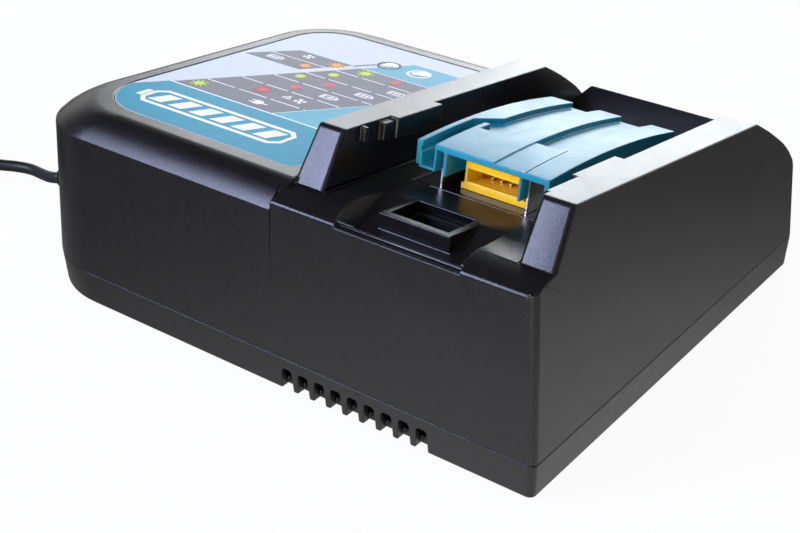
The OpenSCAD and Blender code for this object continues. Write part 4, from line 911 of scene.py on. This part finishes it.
def screwTree():
    tree, add, size = geoTree("crossScrews", screwSizes(screws["rows"]["case_screws"]))
    radius, height, width = size["Head radius"], size["Head height"], size["Recess width"]
    # the pan head is the part of a disc inside a ball
    half = add("ShaderNodeMath", {0: height, 1: 0.5}, operation="MULTIPLY")
    ballRadius = add("ShaderNodeMath", {0: radius, 1: screws["dome"]}, operation="MULTIPLY")
    middle = add("ShaderNodeMath", {0: size["Shank length"], 1: 0.5, 2: height}, operation="MULTIPLY_ADD")
    disc = add("GeometryNodeMeshCylinder", {"Vertices": 32, "Radius": radius, "Depth": height})
    ball = add("GeometryNodeMeshUVSphere", {"Segments": 32, "Rings": 24, "Radius": ballRadius})
    rod = add("GeometryNodeMeshCylinder", {"Vertices": 20, "Radius": size["Shank radius"],
              "Depth": size["Shank length"]})
    raised = []
    for body, height in ((disc, half), (ball, ballRadius), (rod, middle)):
        lift = add("ShaderNodeCombineXYZ", {"Z": height})
        raised.append(add("GeometryNodeTransform", {"Geometry": body, "Translation": lift}))
    head = add("GeometryNodeMeshBoolean", {1: raised[:2]}, operation="INTERSECT")
    across = add("ShaderNodeMath", {0: radius, 1: screws["recessSpan"]}, operation="MULTIPLY")
    deep = add("ShaderNodeMath", {0: size["Recess depth"], 1: 2.0}, operation="MULTIPLY")
    wings = []
    for a, b in ((across, width), (width, across)):
        box = add("ShaderNodeCombineXYZ", {"X": a, "Y": b, "Z": deep})
        wings.append(add("GeometryNodeMeshCube", {"Size": box}))
    cut = add("GeometryNodeMeshBoolean", {0: head, 1: wings}, operation="DIFFERENCE")
    whole = add("GeometryNodeJoinGeometry", {0: [cut, raised[2]]})
    rows = atPlaces(add, size, whole, size["Turn"])
    angle = add("FunctionNodeRandomValue", {3: math.pi / 2, "Seed": size["Seed"]}, data_type="FLOAT")
    spin = add("ShaderNodeCombineXYZ", {"Z": angle.outputs[1]})
    spin = add("FunctionNodeEulerToRotation", {0: spin})
    turned = add("GeometryNodeRotateInstances", {"Instances": rows, "Rotation": spin, "Local Space": True})
    closeTree(add, turned, "zincPlatedSteel")
    return tree


def islandBoxes(node):
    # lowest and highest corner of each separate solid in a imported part, in metres
    bm = bmesh.new()
    bm.from_mesh(cad[node].data)
    bmesh.ops.remove_doubles(bm, verts=bm.verts, dist=0.001 * mm)
    left, boxes = set(bm.verts), []
    while left:
        queue = [left.pop()]
        group = list(queue)
        while queue:
            for v in [v for e in queue.pop().link_edges for v in e.verts]:
                if v in left:
                    left.remove(v)
                    queue.append(v)
                    group.append(v)
        boxes.append(tuple(Vector(f(v.co[k] for v in group) for k in range(3)) for f in (min, max)))
    bm.free()
    return sorted(boxes, key=lambda b: tuple(round(c, 5) for c in b[0]))


def makeScrews():
    tree = screwTree()
    for node, row in screws["rows"].items():
        places = [((a.x + b.x) / 2, (a.y + b.y) / 2, a.z if row["up"] else b.z) for a, b in islandBoxes(node)]
        if len(places) != row["number"]:
            raise RuntimeError(node + " has " + str(len(places)) + " screws")
        growPiece(node + "_cross", tree, screwSizes(row), places, node, [node])


# sizes in mm: end and height tell where the springs' axes lie in the bay, travel is that of the cover, and
# anchorAt is the x of the point that stays in place
coverSprings = {"wire": 0.5, "radius": 2.0, "turns": 9.0, "end": 34.0, "length": 30.5, "height": -10.6,
                "travel": 18.0, "anchorAt": 50}


def makeSprings():
    s = coverSprings
    sizes = {"Wire radius": s["wire"] / 2 * mm, "Radius": s["radius"] * mm, "Turns": s["turns"],
             "Length": (s["length"] - s["wire"]) * mm, "Turn": (math.pi / 2 - bayTilt, 0.0, 0.0)}
    tree, add, size = geoTree("returnSprings", sizes)
    coil = add("GeometryNodeCurveSpiral", {"Resolution": 20, "Rotations": size["Turns"],
               "Start Radius": size["Radius"], "End Radius": size["Radius"], "Height": size["Length"]})
    wire = tube(add, coil, size["Wire radius"], 8)
    closeTree(add, atPlaces(add, size, wire, size["Turn"]), "springSteelWire")
    low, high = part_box("cover_springs")
    out = s["radius"] + s["wire"] / 2
    axes = (low[0] / mm + out, high[0] / mm - out)
    places = [bayPoint(x, s["end"] - s["wire"] / 2, s["height"]) for x in axes]
    springs = growPiece("return_springs", tree, sizes, places, "cover_springs", ["cover_springs"])
    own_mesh(springs)


# sizes in mm; root and tip are the radii of the first and last rib, start moves the first one toward the case
guardRibs = {"count": 8, "thick": 0.9, "root": 4.1, "tip": 2.75, "start": 4}


def makeGuardRibs():
    s = guardRibs
    sizes = {"Count": s["count"], "Rib radius": s["thick"] / 2 * mm, "Root radius": s["root"] * mm,
             "Tip radius": s["tip"] * mm}
    tree, add, size = geoTree("guardRibs", sizes)
    line = add("GeometryNodeMeshToCurve", {"Mesh": size["Places"]})
    even = add("GeometryNodeResampleCurve", {"Curve": line, "Count": size["Count"]})
    along = add("GeometryNodeSplineParameter")
    radius = add("ShaderNodeMapRange", {"Value": along, "To Min": size["Root radius"],
                 "To Max": size["Tip radius"]})
    tangent = add("GeometryNodeInputTangent")
    way = add("FunctionNodeAlignRotationToVector", {"Vector": tangent}, axis="Z")
    ring = add("GeometryNodeCurvePrimitiveCircle", {"Resolution": 32, "Radius": 1.0})
    rings = add("GeometryNodeInstanceOnPoints", {"Points": even, "Instance": ring, "Rotation": way,
                "Scale": radius})
    real = add("GeometryNodeRealizeInstances", {0: rings})
    level = add("GeometryNodeSetCurveRadius", {0: real, "Radius": 1.0})
    closeTree(add, tube(add, level, size["Rib radius"], 10, capped=False), "softPvc")
    places = [Vector(p) * mm for p in mainsCord["guardRoute"][1:]]
    places[0] += Vector((s["start"], 0, 0)) * mm
    growPiece("guard_ribs", tree, sizes, places, "cord_guard", joined=True)


# sizes in mm, span in degrees; middle and half are the winding's radius round the ring and half its width;
# roundness: 1 winds a round section, 0 a square one; seat: how far under the core the heights start
chokeCoil = {"turns": 15.0, "span": 110.0, "wire": 1.1, "middle": 9.0, "half": 3.62, "height": 6.5,
             "halfHeight": 5.9, "roundness": 0.45, "pointsPerTurn": 20, "seat": 1}


def makeChoke():
    # wire wound round both halves of the ring core, square round its section
    s = chokeCoil
    sizes = {"Turns": s["turns"], "Span": math.radians(s["span"]), "Wire radius": s["wire"] / 2 * mm,
             "Middle": s["middle"] * mm, "Half": s["half"] * mm, "Height": s["height"] * mm,
             "Half height": s["halfHeight"] * mm}
    tree, add, size = geoTree("chokeWinding", sizes)
    line = add("GeometryNodeCurvePrimitiveLine")
    even = add("GeometryNodeResampleCurve", {"Curve": line, "Count": int(s["turns"] * s["pointsPerTurn"])})
    f = add("GeometryNodeSplineParameter")
    centred = add("ShaderNodeMath", {0: f, 1: 0.5}, operation="SUBTRACT")
    around = add("ShaderNodeMath", {0: centred, 1: size["Span"]}, operation="MULTIPLY")
    turns = add("ShaderNodeMath", {0: f, 1: size["Turns"]}, operation="MULTIPLY")
    wound = add("ShaderNodeMath", {0: turns, 1: 2 * math.pi}, operation="MULTIPLY")
    offset = []
    for wave, half, middle in (("COSINE", "Half", "Middle"), ("SINE", "Half height", "Height")):
        bare = add("ShaderNodeMath", {0: wound}, operation=wave)
        reach = add("ShaderNodeMath", {0: bare}, operation="ABSOLUTE")
        full = add("ShaderNodeMath", {0: reach, 1: s["roundness"]}, operation="POWER")
        sign = add("ShaderNodeMath", {0: bare}, operation="SIGN")
        part = add("ShaderNodeMath", {0: full, 1: sign}, operation="MULTIPLY")
        offset.append(add("ShaderNodeMath", {0: part, 1: size[half], 2: size[middle]},
                          operation="MULTIPLY_ADD"))
    out, up = offset
    level = []
    for wave in ("COSINE", "SINE"):
        way = add("ShaderNodeMath", {0: around}, operation=wave)
        level.append(add("ShaderNodeMath", {0: out, 1: way}, operation="MULTIPLY"))
    spot = add("ShaderNodeCombineXYZ", {"X": level[0], "Y": level[1], "Z": up})
    bent = add("GeometryNodeSetPosition", {"Geometry": even, "Position": spot})
    wire = tube(add, bent, size["Wire radius"], 8)
    # the second half is the first one turned half round
    number = add("GeometryNodeInputIndex")
    half = add("ShaderNodeMath", {0: number, 1: math.pi}, operation="MULTIPLY")
    turn = add("ShaderNodeCombineXYZ", {"Z": half})
    closeTree(add, atPlaces(add, size, wire, turn), "enamelledCopper")
    low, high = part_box("line_choke")
    place = ((low[0] + high[0]) / 2, (low[1] + high[1]) / 2, low[2] - s["seat"] * mm)
    growPiece("choke_turns", tree, sizes, [place, place], "choke_winding", ["choke_winding"])


def lathe(bm, profile, place, turn, segments=32, ink=0):
    # profile: (distance from the axis, height along it) in mm, from axis to axis; turn takes Z to the real axis
    rings = []
    for r, h in profile:
        n = segments if r > 0 else 1
        corners = [(r * math.cos(2 * math.pi * k / n), r * math.sin(2 * math.pi * k / n), h) for k in range(n)]
        rings.append([bm.verts.new(Vector(place) + turn @ Vector(p) * mm) for p in corners])
    for low, high in zip(rings, rings[1:]):
        for k in range(segments):
            n, m = len(low), len(high)
            corners = [low[k % n], low[(k + 1) % n], high[(k + 1) % m], high[k % m]]
            face = bm.faces.new(list(dict.fromkeys(corners)))
            face.smooth = True
            face.material_index = ink


def domeProfile(radius, rise, base):
    # a quarter of an ellipse, without the point on the axis
    return [(radius * math.cos(k * math.pi / 12), base + rise * math.sin(k * math.pi / 12)) for k in range(6)]


# round mains pins, sleeved at the root and bare nickel at the tip; radii, sleeve length and chamfer in mm
plugPins = {"sleeve": 1.9, "sleeveLength": 10.0, "tip": 2.0, "chamfer": 0.12, "overlap": 0.1}


def makePins():
    s = plugPins
    bm = bmesh.new()
    turn = Matrix.Rotation(math.pi / 2, 3, "X")
    r, end, overlap = s["tip"], s["sleeveLength"], s["overlap"]
    for a, b in islandBoxes("plug_pins"):
        long = (b.y - a.y) / mm
        place = ((a.x + b.x) / 2, b.y, (a.z + b.z) / 2)
        lathe(bm, [(0, 0), (s["sleeve"], 0), (s["sleeve"], end), (0, end)], place, turn, ink=1)
        root = [(0, end - overlap), (r - s["chamfer"], end - overlap), (r, end + overlap)]
        lathe(bm, root + domeProfile(r, r, long - r) + [(0, long)], place, turn)
    pieceFromBmesh("plug_pins_sleeved", bm, "plug_pins", [finish["nickelPlatedBrass"], finish["softPvc"]],
                   ["plug_pins"])


# radii and heights of the clear windows in mm
lightWindows = {"radius": 3.0, "dome": 0.3, "flange": 4.0, "flangeThick": 1}


def makeWindows():
    s = lightWindows
    bm = bmesh.new()
    turn = Matrix.Rotation(-deckTilt, 3, "X")
    c, t = math.cos(deckTilt), math.sin(deckTilt)
    for a, b in islandBoxes("indicator_lenses"):
        middle = (a + b) / 2
        low = (middle.z / mm - deckHeight + middle.y / mm * t / c) * c
        height = 2 * (labelArt["paper"] - low)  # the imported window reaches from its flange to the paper
        place = middle + turn @ Vector((0, 0, -height / 2)) * mm
        r, flange, thick = s["radius"], s["flange"], s["flangeThick"]
        lathe(bm, [(0, 0), (flange, 0), (flange, thick), (r, thick)] + domeProfile(r, s["dome"], height)
              + [(0, height + s["dome"])], place, turn)
    pieceFromBmesh("light_windows", bm, "indicator_lenses", [finish["frostedPolycarbonate"]],
                   ["indicator_lenses"])


scene.view_settings.view_transform = "Standard"
makeCamera()
finish = {name: mouldedPlastic(name) for name in plastics}
finish.update({name: platedMetal(name) for name in metals})
finish.update({name: printedInk(name) for name in inks})
finish["greenSolderMaskFr4"] = solderMaskBoard()
finish["sinteredFerrite"] = sinteredFerrite()
finish["frostedPolycarbonate"] = clearMoulding("frostedPolycarbonate", "#e4eaec", 0.25)
finish["fuseGlass"] = clearMoulding("fuseGlass", "#f2f4ee", 0.05)
print("materials:", len(finish))

makeTable()
makeRoom()
makeLamps()
cord, cordTotal = makeCord(finish["softPvc"])

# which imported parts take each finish
carried = {
    "sparkErodedAbs": ["upper_case"], "fineGrainAbs": ["lower_case"], "paleInk": ["label_panel"],
    "polishedBlackPbt": ["terminal_base"], "satinTealPbt": ["terminal_cover"],
    "yellowPbt": ["connector_housing"],
    "glassFilledNylon": ["air_duct", "fan_frame", "fan_rotor", "cord_clamp"],
    "softPvc": ["cord_guard", "plug_body"], "nitrileRubber": ["rubber_feet"],
    "nickelPlatedBrass": ["power_blades", "plug_pins"], "tinnedBronze": ["signal_contacts"],
    "springSteelWire": ["cover_springs"], "extrudedAluminium": ["heat_sinks"],
    "zincPlatedSteel": ["case_screws", "spring_pins", "fan_screws", "board_screws", "clamp_screws"],
    "greenSolderMaskFr4": ["main_board", "led_board"], "sinteredFerrite": ["transformer_core", "line_choke"],
    "polyesterTape": ["transformer_winding"], "capacitorSleeve": ["bulk_capacitor", "output_capacitors"],
    "epoxyMouldCompound": ["power_devices", "buzzer"], "enamelledCopper": ["choke_winding"],
    "greenNylon": ["terminal_strip"], "wireSheath": ["mains_leads", "battery_leads"],
    "whiteNylonTie": ["cord_tie"], "diffusedEpoxy": ["led_lamps"], "fuseGlass": ["fuse"],
    "frostedPolycarbonate": ["indicator_lenses"],
}
finishOf = {node: look for look, nodes in carried.items() for node in nodes}
for node, look in finishOf.items():
    for place in cad[node].material_slots:
        place.material = finish[look]

radiusRules = {"upper_case": caseRadius, "plug_body": plugRadius}
for node in edgeRounds:
    roundedCopy(node, finish[finishOf[node]], radiusRules.get(node))

makeLabel()
makeWindows()
makeScrews()
makeSprings()
makeGuardRibs()
makeChoke()
makePins()
